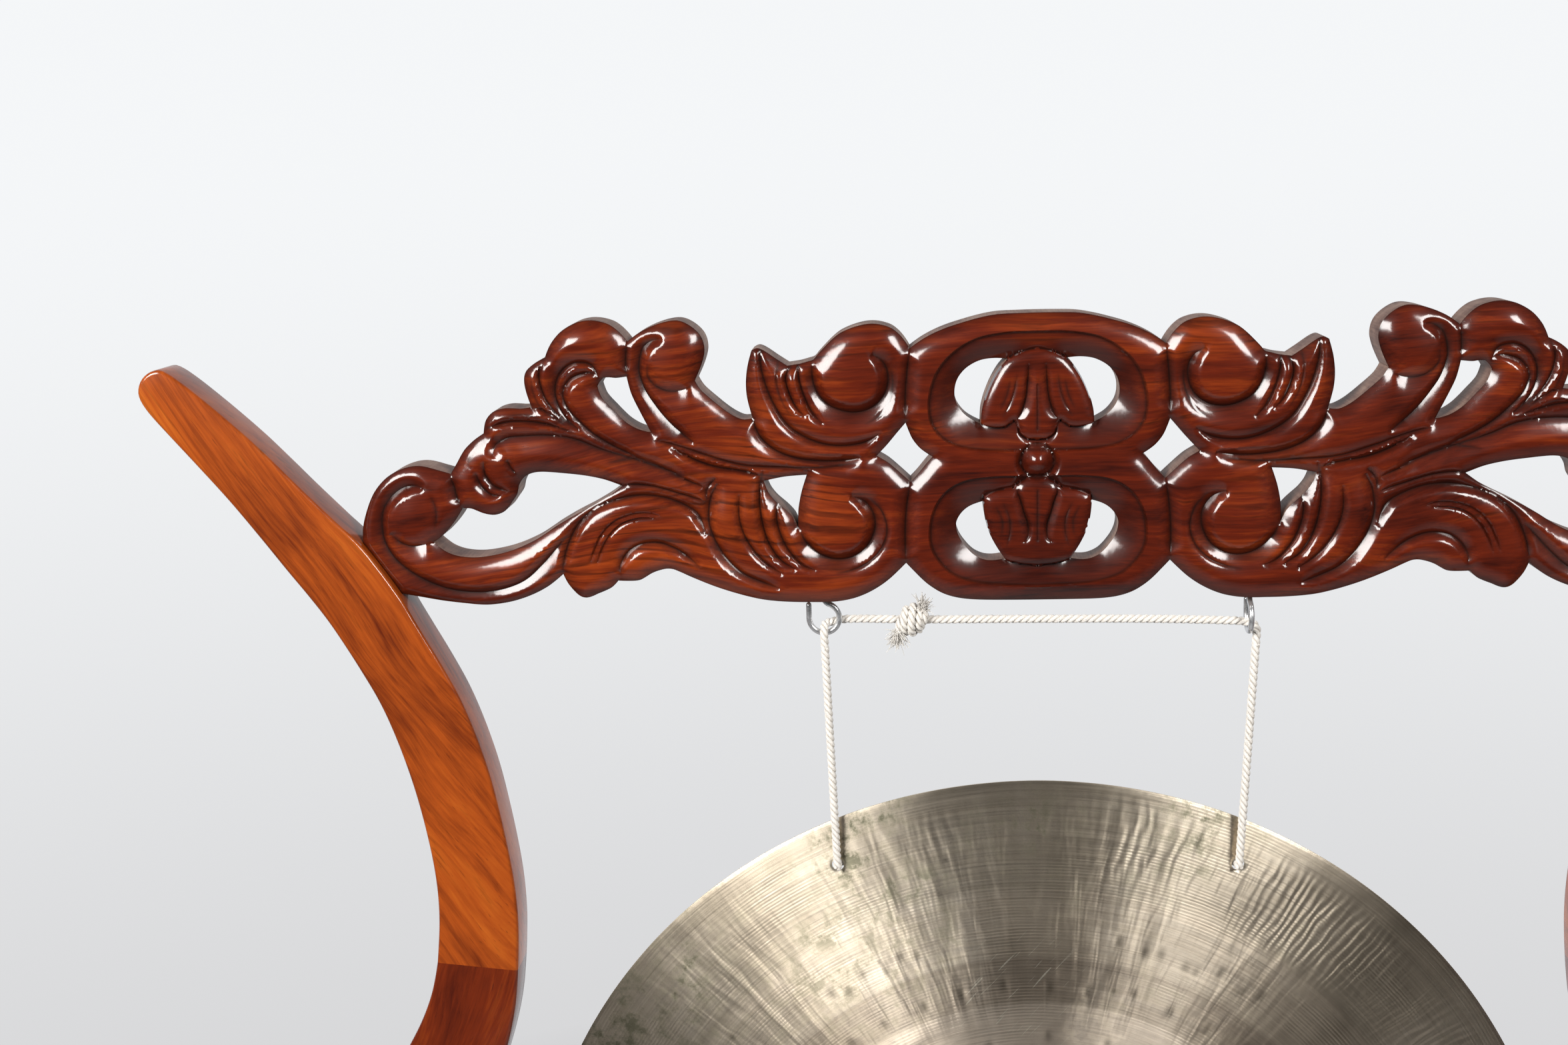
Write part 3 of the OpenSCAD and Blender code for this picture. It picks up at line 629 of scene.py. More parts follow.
# Each cut: its line, its depth, and how far its wall runs to the left and right of the line, in mm.
# The line goes from the first point to the last, seen from the front on the right-hand half.
CUTS = [
    # upper tulip
    ([(4.6, 130), (5.0, 122), (6.1, 111.4), (8.6, 103), (12, 97)], 2.2, 1.6, 5),
    ([(10.7, 124.3), (12.4, 114.3), (15, 107), (18.6, 100.7)], 1.2, 2.6, 2.2),
    ([(14.3, 121), (16.4, 112.5), (19.6, 105.5)], 0.8, 2.2, 1.8),
    ([(0, 118), (0, 94)], 1.2, 2.2, 2.2),
    # lower tulip
    ([(9.8, 65), (10.6, 60), (9.3, 56.4), (7.1, 48.6), (5, 41.4), (5.7, 34.3), (7.9, 32)], 2.2, 4.5, 1.6),
    ([(18.6, 55), (15, 45.7), (15, 37), (17.1, 30)], 1.2, 2.6, 2.2),
    ([(22.6, 53), (19, 45), (19.4, 36.5)], 0.8, 2.2, 1.8),
    ([(0, 61), (0, 33.5)], 1.2, 2.2, 2.2),
    # where the frame meets the scrolls
    ([(67.3, 138.5), (69, 126), (70, 113), (70.2, 98.5)], 3.2, 6, 6),
    ([(68, 66.3), (70.3, 52), (71.2, 37), (71, 21.4)], 3.2, 6, 6),
    # upper scroll: the spiral round its eye
    ([(87.9, 136.4), (82.1, 132.1), (79.3, 125.7), (79.6, 118.6), (82.9, 111.4), (89.3, 106.4),
      (97.9, 104.6), (106.4, 106.4), (113.6, 110.7), (117.9, 117.1), (119.6, 124.3), (119.4, 133)],
     3.6, 3.6, 9),
    ([(77.3, 128), (76.8, 119), (79.3, 110), (84, 103), (92, 98.5)], 1.6, 3, 2),
    # feathers beside it
    ([(127.6, 141), (127.3, 131), (126.7, 122.9), (124.3, 114.3), (120, 105), (114.3, 98.3)], 2.6, 2.6, 4),
    ([(129, 140), (131.4, 130.7), (133.9, 124.3), (132.1, 115.7), (127.9, 107.1), (123.6, 102.9)],
     2.4, 2.6, 3),
    ([(136, 141), (137.9, 132), (138.8, 124), (137, 114), (132, 104.5)], 1.2, 2, 2.4),
    ([(147.5, 149), (147.1, 139), (147.1, 131.4), (145, 121.4), (140.7, 110), (133.6, 98.6), (123.6, 91.4),
      (112.1, 87.4), (100.7, 86.9), (90.7, 89), (82.9, 94)], 2.6, 4, 5),
    ([(153, 107), (151.4, 98.6), (147.9, 91.4), (140.7, 85), (130.7, 80.7), (117.9, 78.6),
      (103.6, 78.6), (93.6, 80.3)], 3.0, 6, 3),
    # bevel along the underside of the upper arm
    ([(206.4, 92), (192.1, 88), (177.9, 82.9), (157.9, 77.1), (136.4, 75.7), (115, 75.2), (96, 77.6)],
     2.2, 2.2, 5),
    ([(197.9, 88.6), (186.4, 81.4), (173.6, 76.4), (157.9, 73.6), (147.5, 70.5)], 2.8, 3, 4),
    # lobe at the upper arm's end
    ([(199.3, 146.4), (205, 145.7), (210, 142.1), (212.4, 135.7), (212.9, 128.6), (210, 118.6),
      (205.7, 111.4), (199.3, 102.9), (192.1, 95.7), (183.6, 89)], 3.2, 9, 3.6),
    ([(207.9, 133), (207.9, 125.7), (202.1, 120), (195, 118.1), (187.9, 119.3), (183.3, 122.1)], 2.2, 8, 4),
    ([(218.7, 145.3), (219.8, 137), (220, 126.5)], 3.0, 6, 6),
    # ball lobe and its inner curl
    ([(234.5, 124), (238.6, 132.9), (245.7, 134.6), (252.9, 132.1), (257.9, 125.7), (259.3, 118.6),
      (257.9, 111.4), (253.6, 103.6), (245.7, 97.1)], 3.4, 8, 3),
    ([(232.9, 124.3), (238.6, 128.8), (245.7, 127.9), (251.4, 125), (255, 118.6), (252.9, 110),
      (247.1, 102.9), (238.6, 95), (228.6, 88.6), (212.9, 81)], 2.8, 6, 3),
    # fan feathers
    ([(264, 137.5), (267.4, 128.6), (265.7, 118.6), (261.4, 110), (255.7, 103.6), (248.6, 98.6)],
     2.4, 3, 4),
    ([(271.4, 127.1), (270.7, 118.6), (267.1, 110.7), (261.4, 105)], 1.2, 1.8, 2),
    ([(274.3, 110.3), (267.1, 109.5), (260, 105), (253, 99.5)], 2.2, 3, 3),
    ([(290, 105.2), (280, 106.9), (271.4, 105.7), (264, 102.6)], 1.2, 2, 2),
    ([(299, 99.6), (285.7, 102.9), (271.4, 102.6), (260, 100), (248.6, 96)], 2.4, 3, 4),
    ([(306, 78.5), (308.6, 79), (306.4, 85.7), (300, 92.1), (291.4, 95)], 1.4, 3, 3),
    ([(295, 83.6), (293.6, 90), (287.1, 94), (277.1, 95), (262.9, 95), (250, 92.9), (235.7, 87.1),
      (220, 82.1), (205.7, 77.1), (188.6, 70.7)], 2.8, 8, 4),
    # curl at the fan's foot
    ([(305, 75.7), (302.9, 68.6), (297.1, 62.9), (290.7, 62.4)], 2.4, 4, 4),
    ([(300, 82), (300, 74.3), (295.7, 67.9), (288.6, 65), (284.3, 65.4)], 2.4, 4, 4),
    ([(287.1, 82.9), (285, 77.9), (281.7, 73.3)], 1.6, 2, 3),
    # between the fan and the end scroll
    ([(319.7, 74.3), (317.9, 67.1), (316.4, 60), (313.8, 56)], 3.2, 6, 6),
    # end scroll: spiral, then the crease along the lower arm
    ([(334.3, 67.1), (340, 68.6), (347.1, 67.1), (354.3, 61.4), (358.6, 54.3), (359.7, 45.7),
      (358.6, 37.1), (354.3, 28.6), (347.1, 21.4), (337.1, 15), (324.3, 10), (308.6, 7.9),
      (294.3, 9.3), (281.4, 14.3), (271.4, 22.9), (262.9, 32.1), (255.7, 40.3)], 3.0, 10, 3.4),
    ([(354.3, 42.9), (350, 37.1), (342.9, 34.6), (335.7, 35.7), (331, 37.5)], 2.4, 8, 5),
    ([(330.5, 63), (328.4, 57), (328.2, 50), (330, 44)], 1.2, 4, 5),
    # hanging leaf
    ([(260, 17.1), (258.6, 27.1), (255.7, 35.7), (250, 45.7), (241.4, 53.6), (230, 58.6), (217.1, 61.1),
      (204.3, 60.3), (194.3, 57.1), (185, 51.4), (181.5, 45), (179.5, 38)], 3.0, 3, 7),
    ([(244, 24.3), (241.4, 31.4), (237.1, 40), (230, 47.1), (221.4, 50.7), (211.4, 51.7), (203.6, 50)],
     1.3, 1.4, 1.4),
    ([(240.4, 23.6), (237.1, 32.1), (232.9, 39.3), (225.7, 45.7), (217.1, 48.6), (207.1, 48.9)],
     1.3, 1.4, 1.4),
    ([(227.1, 15.7), (227.9, 21.4), (224.3, 28.6), (217.1, 33.6), (207.1, 34.8), (197.1, 31.4),
      (190, 26.5), (183.6, 20.7)], 2.6, 3, 6),
    ([(244.3, 61.4), (224.3, 67.1), (208.6, 66.4), (191.4, 61.4), (177.9, 57.1)], 2.2, 4, 3),
    ([(232, 80), (215, 81.4), (203.6, 77.1), (192.1, 70.7), (177.9, 64.6)], 2.2, 4, 3),
    # leaf bundle beside the lower scroll
    ([(172, 68), (176.3, 60), (178, 47), (175, 35.7), (169.3, 25.7), (160.7, 17.1), (150.7, 12.1),
      (139.3, 8.1)], 2.8, 3.4, 6),
    ([(160.5, 62), (161.2, 50), (158.6, 38.6), (152.9, 28.6), (145, 20.7), (137.9, 16.4)], 2.0, 3, 3.4),
    ([(147, 76), (149.3, 66), (149.8, 55), (147.9, 41.4), (145, 32.9), (139.3, 24.3), (130.7, 18.6)],
     2.4, 3, 3.4),
    ([(136, 70), (139, 60), (140.9, 48), (137.9, 35.7), (132.9, 27.1), (126.4, 20.7), (119.3, 18.3)],
     2.4, 3, 4),
    ([(173, 70.8), (178.5, 64), (178.6, 57)], 2.2, 4, 4),
    # lower scroll: the spiral round its eye
    ([(100.7, 59.6), (93.6, 56.4), (88.6, 50), (87.4, 42.9), (89.3, 35.7), (93.6, 29.3), (100.7, 25),
      (109.3, 24), (117.9, 27.1), (125, 33.6), (128.6, 41.4)], 3.6, 3.6, 9),
    ([(90.7, 58.6), (83.6, 50.7), (81.1, 40), (84.3, 30), (92.1, 22.1), (100.7, 18.3), (109.3, 16.7)],
     1.6, 3, 2.2),
]
# The centre frames' sunk rings: the border's inner edge, and the depth there and at the opening, in mm.
RINGS = [
    ([(0, 147), (18, 146.5), (33, 143.5), (45, 136.5), (53, 127.5), (57, 118), (58.5, 107), (57, 98),
      (52, 90.7), (44, 85.7), (31, 82.9), (0, 82)], 2.0, 7.9),
    ([(0, 69.4), (25, 69.3), (40, 67), (50, 61), (56, 52), (58.5, 41.5), (58, 31), (53, 21.5),
      (46, 15), (36, 11), (20, 8.8), (0, 8)], 2.0, 7.9),
]
# The tulips that stand proud on the rings.
TULIPS = [
    [(0, 137.2), (4, 136.8), (11, 134.6), (16, 131.5), (20, 127), (24, 120.3), (27.5, 112), (29.8, 104),
     (30.4, 97.4), (24, 95), (17, 95.4), (12.4, 98.6), (10.4, 97), (9.3, 92), (5, 88.8), (0, 88.4)],
    [(0, 68.2), (3.6, 67.9), (9.3, 65.7), (13, 62.4), (22, 61), (28.4, 58), (29, 54.5), (28, 45),
     (25.3, 36.5), (21, 28.5), (17, 22.7), (9.3, 20.3), (0, 19.3)],
]
# The button in the middle, and the domes: centre and radius
BUTTON = ((0, 77), 9.0)
DOMES = [((99.6, 122.9), 24), ((107.1, 41.4), 24), ((342, 51.4), 18), ((196, 132), 19), ((244, 140), 18),
         ((0, 77), 9), ((163, 48), 22), ((291, 82), 14)]
EDGE_DROP, EDGE_WIDTH = 4.6, 12.0
FINE_CUT = 1.5  # cuts no deeper than this are V grooves; the others are made deeper and wider
DEEPER, WIDER = 1.45, 1.6
SHARE = 5.0  # how sharply overlapping cuts take over from each other
DOME_RISE = 1.8  # how far everything but the domes lies back
LINE_SPACING = 1.5


def nearest_on(points, line):
    """Each point's distance from a line, which side it lies on, how far along, and the line's length."""
    a, b = line[:-1], line[1:]
    length = np.linalg.norm(b - a, axis=1)
    run = np.concatenate([[0], np.cumsum(length)])
    best = np.full(len(points), 1e9)
    side = np.zeros(len(points))
    where = np.zeros(len(points))
    for i in range(len(a)):
        d = b[i] - a[i]
        t = np.clip(((points - a[i]) @ d) / max(d @ d, 1e-12), 0, 1)
        gap = points - a[i] - t[:, None] * d
        distance = np.hypot(gap[:, 0], gap[:, 1])
        closer = distance < best
        best = np.where(closer, distance, best)
        side = np.where(closer, np.sign(d[0] * gap[:, 1] - d[1] * gap[:, 0]), side)
        where = np.where(closer, run[i] + t * length[i], where)
    return best, side, where, run[-1]


def inside(points, loop):
    """Which points lie inside a closed loop."""
    x, z = points[:, 0], points[:, 1]
    within = np.zeros(len(points), bool)
    for a, b in zip(loop, np.roll(loop, -1, 0)):
        if a[1] != b[1]:
            crossing = (b[0] - a[0]) * (z - a[1]) / (b[1] - a[1]) + a[0]
            within ^= ((a[1] > z) != (b[1] > z)) & (x < crossing)
    return within


def cut_depth(points, cut):
    """Depth in mm of one chisel cut at each point of the right-hand half, and its crease, 0 to 1."""
    route, deep, left, right = cut
    fine = deep <= FINE_CUT
    if not fine:
        deep, left, right = deep * DEEPER, left * WIDER, right * WIDER
    line = spline(route, LINE_SPACING)
    reach = max(left, right)
    near = np.all((points > line.min(0) - reach) & (points < line.max(0) + reach), axis=1)
    out, crease = np.zeros(len(points)), np.zeros(len(points))
    index = np.flatnonzero(near)
    if not len(index):
        return out, crease
    best, side, where, total = nearest_on(points[index], line)
    # a cut that stops at the middle line runs on into its mirror image and doesn't fade there
    ends = [w if end[0] > 3 else total for w, end in ((where, line[0]), (total - where, line[-1]))]
    fade = np.clip(np.minimum(*ends) / min(10.0, 0.3 * total), 0, 1)
    fade = 0.12 + 0.88 * np.sqrt(fade)
    width = np.where(side > 0, left, right) * (0.35 + 0.65 * fade)
    steep = width < 0.6 * reach
    power = 1.8 if fine else np.where(steep, 1.15, 1.9)
    out[index] = deep * fade * np.clip(1 - best / width, 0, 1) ** power
    crease[index] = fade * np.clip(1 - best / 1.5, 0, 1) * (0.75 if fine else 1.0)
    return out, crease


def frame_relief(folded, edge_distance, border):
    """Depth in mm of the centre frames' borders, rings and tulips, and their creases, 0 to 1."""
    depth, crease = border.copy(), np.zeros(len(folded))
    ringed = np.zeros(len(folded), bool)

    def measured(route):
        line = spline(route, LINE_SPACING)
        return inside(folded, line), nearest_on(folded, line)[0]

    for route, at_edge, at_opening in RINGS:
        within, away = measured(route)
        slope = away / (away + edge_distance + 1e-6)
        sunk = at_edge * np.clip(away / 1.3, 0, 1) + (at_opening - at_edge) * slope ** 1.35
        depth = np.where(within, sunk, depth)
        crease = np.maximum(crease, np.where(within, 0.8 * np.clip(1 - np.abs(away - 1.2) / 1.5, 0, 1), 0))
        ringed |= within
    for route in TULIPS:
        within, away = measured(route)
        own = 0.5 + 2.6 * np.clip(1 - away / 6.0, 0, 1) ** 2.2
        gouge = 4.4 * np.clip(1 - away / 5.5, 0, 1) ** 0.8
        depth = np.where(within, own, np.where(ringed, np.maximum(depth, gouge), depth))
        beside = np.where(ringed & ~within, np.clip(1 - away / 1.6, 0, 1), 0)
        crease = np.maximum(np.where(within, 0, crease), beside)
    return depth, crease


def relief(points, edge_distance):
    """Depth in mm below the front plane at each point of either half, and how near it is to a crease."""
    folded = np.stack([np.abs(points[:, 0]), points[:, 1]], 1)
    border = EDGE_DROP * np.clip(1 - edge_distance / EDGE_WIDTH, 0, 1) ** 2.1
    base, crease = frame_relief(folded, edge_distance, border)
    total = base ** SHARE
    for cut in CUTS:
        depth, near = cut_depth(folded, cut)
        total += depth ** SHARE
        crease = np.maximum(crease, near)
    centre, radius = BUTTON
    rho = np.hypot(*(folded - centre).T)
    ring = 4.4 * np.clip(1 - np.abs(rho - radius) / np.where(rho < radius, 8.0, 4.0), 0, 1) ** 1.6
    total += ring ** SHARE
    crease = np.maximum(crease, np.clip(1 - np.abs(rho - radius) / 1.4, 0, 1))
    proud = np.ones(len(points))
    for centre, radius in DOMES:
        rho = np.clip(np.hypot(*(folded - centre).T) / radius, 0, 1)
        proud = np.minimum(proud, rho ** 2 * (3 - 2 * rho))
    # the hand's unevenness
    hand = 0.0
    for _ in range(14):
        angle, wave, shift = rng.uniform(0, np.pi), rng.uniform(20, 70), rng.uniform(0, 6.28)
        hand += np.sin((points @ (np.cos(angle), np.sin(angle))) * 2 * np.pi / wave + shift)
    return total ** (1 / SHARE) + DOME_RISE * proud + 0.2 + 0.03 * hand, crease


def edge_finder(outline, following):
    """A function that gives points' distance from closed loops, which each point's follower defines."""
    previous = np.empty(len(outline), int)
    previous[following] = np.arange(len(outline))
    tree = tree_of(outline)

    def edge_distance(points):
        nearest = np.array([tree.find((*p, 0))[1] for p in points], int)
        best = np.full(len(points), 1e9)
        for a, b in ((previous[nearest], nearest), (nearest, following[nearest])):
            d = outline[b] - outline[a]
            t = np.clip(((points - outline[a]) * d).sum(1) / (d * d).sum(1), 0, 1)
            best = np.minimum(best, np.linalg.norm(points - outline[a] - t[:, None] * d, axis=1))
        return best

    return edge_distance


def face_points(loops, x_range, height, spacing, edge_distance):
    """Points inside the carving's loops: rings near the edge, rows beside the cuts' lines, and a grid."""
    extra = []
    for index, loop in enumerate(loops):
        for distance in (0.7, 1.7, 3.0):
            ring = inward(loop, distance if index == 0 else -distance)
            extra.append(ring[edge_distance(ring) > 0.93 * distance])
    rows = [(route, (0, 0.7, -0.7, 1.3, -1.3, 2.2, -2.2)) for route in (*[r[0] for r in RINGS], *TULIPS)]
    for route, deep, left, right in CUTS:
        wall = min(left, right) * (1 if deep <= FINE_CUT else WIDER)
        rows.append((route, (0, 0.95, -0.95, wall if left < right else -wall)))
    for route, offsets in rows:
        line = spline(route, spacing * 0.7)
        for offset in offsets:
            beside = parallel(line, offset)
            beside = beside[beside[:, 0] >= 0]
            for side in (1, -1):
                mirrored = beside * (side, 1)
                extra.append(mirrored[edge_distance(mirrored) > 0.6])
    fixed = thinned(np.vstack(extra), 0.5)
    step = spacing * 1.12
    xs = np.arange(*x_range, step)
    zs = np.arange(0, height, step * 0.866)
    grid = np.array([(x + (k % 2) * step / 2, z) for k, z in enumerate(zs) for x in xs])
    taken = tree_of(fixed)
    grid = grid[np.array([taken.find((*p, 0))[2] > step * 0.62 for p in grid])]
    return np.vstack([fixed, grid[edge_distance(grid) > 0.8 * step]])


def carved_crossbar(material, side_material):
    low, high = (np.array(corner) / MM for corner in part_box("carved_crossbar"))
    thick = high[1] - low[1]
    spacing = 1.15
    loops = [rounded_loop(loop / MM - (0, low[2]), spacing) for loop in face_loops("carved_crossbar", 1)]
    outline = np.vstack(loops)
    starts = np.cumsum([0] + [len(l) for l in loops])
    following = np.concatenate([np.roll(np.arange(a, b), -1) for a, b in zip(starts, starts[1:])])
    edge_distance = edge_finder(outline, following)
    inner = face_points(loops, (low[0], high[0]), high[2] - low[2], spacing, edge_distance)
    front, triangles = filled(loops, inner, 1e-4)
    far = edge_distance(front)
    depth, crease = relief(front, far)
    layers = [np.stack([front[:, 0], depth + low[1], front[:, 1] + low[2]], 1)]
    # painted shade for the lacquer: darker the deeper the front lies, and dark lines along creases and
    # beside deep walls
    cavity_shades = [np.clip((depth - 2.4) / 4.2, 0, 1)]
    creases = np.maximum(crease, 0.6 * np.clip(1 - far / 0.6, 0, 1) * (depth > 4.5))

    # the walls, from the outline's own points to a rounded back edge
    lookup = tree_of(front)
    levels = [[lookup.find((*p, 0))[1] for p in outline]]
    faces = list(triangles)
    # the last number of each ring is the painted shade on that part of the walls
    for inset, drop, painted_shade in ((0.0, thick - 1.3, 0.25), (0.35, thick - 0.4, 0.1), (1.2, thick, 0.1)):
        insets = [inward(loop, inset if index == 0 else -inset) for index, loop in enumerate(loops)]
        ring = np.vstack(insets)
        first = sum(len(layer) for layer in layers)
        levels.append(list(range(first, first + len(ring))))
        layers.append(np.stack([ring[:, 0], np.full(len(ring), low[1] + drop), ring[:, 1] + low[2]], 1))
        cavity_shades.append(np.full(len(ring), painted_shade))
    for upper, lower in zip(levels, levels[1:]):
        faces += [
            (upper[i], upper[following[i]], lower[following[i]], lower[i]) for i in range(len(outline))
        ]
    lookup = tree_of(ring)
    made, back = filled(insets, np.empty((0, 2)), 1e-6)
    below = [levels[-1][lookup.find((*p, 0))[1]] for p in made]
    faces += [tuple(below[i] for i in reversed(t)) for t in back]

    piece = new_piece("crossbar_carving", np.vstack(layers) * MM, faces, material, "root",
                      ["carved_crossbar"], smooth=42.0)
    piece.data.materials.append(side_material)
    for polygon in piece.data.polygons:
        if polygon.index >= len(triangles) and abs(polygon.normal.y) < 0.5:
            polygon.material_index = 1
    # the painted shade of the hollows and creases, for the lacquer to read
    store_values(piece, "cavity_shade", np.concatenate(cavity_shades))
    store_values(piece, "crease", creases)


# ---------------------------------------------------------------- posts, rail and feet

def rounded_board(name, node, axis, radius, material, spacing=3.0, keep_sharp=()):
    """A board with the CAD node's outline, its outline smoothed and its long edges rounded."""
    loop = rounded_loop(face_loops(node, axis)[0], spacing * MM)
    low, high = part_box(node)
    count = len(loop)
    vertices = [np.insert(p, axis, level) for level in (low[axis], high[axis]) for p in loop]
    faces = [tuple(range(count)), tuple(range(2 * count - 1, count - 1, -1))]
    faces += [(i, (i + 1) % count, count + (i + 1) % count, count + i) for i in range(count)]
    mesh = bpy.data.meshes.new(name)
    mesh.from_pydata([tuple(v) for v in vertices], [], faces)
    shape = bmesh.new()
    shape.from_mesh(mesh)
    bmesh.ops.recalc_face_normals(shape, faces=shape.faces)

    def crisp(edge):
        """Whether an edge lies on a joint face."""
        ends = [v.co for v in edge.verts]
        return any(test(ends[0]) and test(ends[1]) for test in keep_sharp)

    rims = [
        e for e in shape.edges
        if abs(e.verts[0].co[axis] - e.verts[1].co[axis]) < 1e-7
        and len(e.link_faces) == 2
        and any(len(f.verts) > 4 for f in e.link_faces)
        and not crisp(e)
    ]
    bmesh.ops.bevel(shape, geom=rims, offset=radius, segments=4, profile=0.5, affect="EDGES",
                    clamp_overlap=False)
    bmesh.ops.triangulate(shape, faces=[f for f in shape.faces if len(f.verts) > 4])
    shape.to_mesh(mesh)
    shape.free()
    add_piece(name, mesh, 38, material, "root", [node])


# The glue joint's ends: distance from the middle at its inner and outer edge
SPLICE_INNER, SPLICE_OUTER = 0.2973, 0.3442


def splice_test(side):
    """A test for points on the glue joint between a side's upper and lower boards."""
    sign = -1 if side == "left" else 1
    a = Vector((sign * SPLICE_INNER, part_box(f"{side}_post_upper")[0].z))
    d = (Vector((sign * SPLICE_OUTER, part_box(f"{side}_post_lower")[1].z)) - a).normalized()

    def test(p):
        v = Vector((p.x, p.z)) - a
        return abs(v.x * d.y - v.y * d.x) < 0.6 * MM

    return test


def stand():
    """The posts, the lower rail and the feet."""
    orange = dict(light=(0.47, 0.115, 0.012), mid=(0.30, 0.055, 0.006), dark=(0.095, 0.013, 0.0025))
    brown = dict(light=(0.30, 0.055, 0.006), mid=(0.125, 0.016, 0.003), dark=(0.042, 0.005, 0.002))
    for side, sign in (("left", 1), ("right", -1)):
        upper_wood = lacquered_wood(
            f"{side}_upper_lacquer", grain_angle=sign * -58, seed=3 * sign, **orange
        )
        lower_wood = lacquered_wood(f"{side}_lower_lacquer", grain_angle=sign * 66, seed=5 * sign, **brown)
        foot_wood = lacquered_wood(f"{side}_foot_lacquer", grain_angle=90, seed=7 * sign, **brown)
        splice, foot_top = splice_test(side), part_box(f"{side}_foot")[1].z
        rounded_board(f"{side}_post_top", f"{side}_post_upper", 1, 2.2 * MM, upper_wood,
                      keep_sharp=[splice])
        rounded_board(f"{side}_post_leg", f"{side}_post_lower", 1, 2.2 * MM, lower_wood,
                      keep_sharp=[splice, lambda p: abs(p.z - foot_top) < 1e-5])
        rounded_board(f"{side}_sled_foot", f"{side}_foot", 0, 3.5 * MM, foot_wood,
                      spacing=4.0)
    paint("lower_rail", lacquered_wood("rail_lacquer", grain_angle=0, seed=2, **brown))


def paint(node, material):
    """Gives a CAD node that keeps its shape a better material."""
    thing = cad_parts[node]
    thing.data.materials.clear()
    thing.data.materials.append(material)


# ---------------------------------------------------------------- the gong

GONG_THICK = 1.5 * MM
RIM_WIDTH = 1.3 * MM
HOLE_R, HOLE_X, HOLE_Z = 3.5 * MM, 112.5 * MM, 251 * MM


def gong_marks():
    """The oval hammer marks: radius, angle and depth of each, in mm and radians."""
    marks = []
    for first, last, step, how_far in ((-34, -18, 3.1, 209), (13, 37, 3.3, 211), (-60, 70, 7.7, 182),
                                       (-170, -60, 9.0, 213), (75, 180, 8.3, 210), (-180, 180, 13.0, 149)):
        for at in np.arange(first, last, step):
            lean = math.radians(at + rng.uniform(-0.8, 0.8))
            marks.append((how_far + rng.uniform(-4, 4), lean, rng.uniform(0.15, 0.32)))
    return marks


def gong_pits():
    """Small round pits in the patina: radius, angle and size of each."""
    return [(rng.uniform(90, 290), rng.uniform(0, 2 * np.pi), rng.uniform(0.9, 1.8)) for _ in range(34)]


def gong_dents(x, z, marks, pits):
    """How far the sheet stands off its true shape, in metres, and how worn it is, at points in mm."""
    r, swing = np.hypot(x, z), np.degrees(np.arctan2(x, z))

    def window(value, low_edge, high_edge, soft):
        return np.clip((value - low_edge) / soft, 0, 1) * np.clip((high_edge - value) / soft, 0, 1)

    dent, worn = np.zeros_like(r), np.zeros_like(r)
    # turned steps between the bands
    for at, height in ((237, 0.22), (198, -0.20), (170, 0.22), (132, -0.15), (96, 0.15)):
        dent += height / (1 + np.exp(-(r - at) / 1.2))
    # broad unevenness from hammering
    for _ in range(46):
        angle, wave, shift = rng.uniform(0, np.pi), rng.uniform(38, 150), rng.uniform(0, 2 * np.pi)
        dent += 0.022 * np.sin((x * np.cos(angle) + z * np.sin(angle)) * 2 * np.pi / wave + shift)
    # folds that run outwards beside the middle
    for at, span in ((12, 3), (16, 3.4), (19.5, 3), (23, 3), (28, 4), (-14, 3), (-18, 3.4), (-23, 4)):
        fold = np.exp(-((swing - at - 0.02 * (r - 230)) / (span * 0.4)) ** 2) * window(r, 165, 288, 30)
        dent += 0.22 * fold * np.sin(r / 13 + at)
    for far, lean, deep in marks:
        dx, dz = x - far * math.sin(lean), z - far * math.cos(lean)
        outward = dx * math.sin(lean) + dz * math.cos(lean)
        across = dx * math.cos(lean) - dz * math.sin(lean)
        mark = np.exp(-(outward / 3.8) ** 2 - (across / 2.2) ** 2)
        dent += deep * mark
        worn += 0.9 * mark
    # scattered round dimples
    for _ in range(150):
        far, lean = rng.uniform(60, 296), rng.uniform(0, 2 * np.pi)
        d2 = (x - far * np.sin(lean)) ** 2 + (z - far * np.cos(lean)) ** 2
        dent += rng.uniform(-0.10, 0.12) * np.exp(-d2 / rng.uniform(2.5, 6.0) ** 2)
    for far, lean, size in pits:
        d2 = (x - far * math.sin(lean)) ** 2 + (z - far * math.cos(lean)) ** 2
        worn += 0.9 * np.exp(-d2 / size ** 2)
    return dent * MM, np.clip(worn, 0, 1)


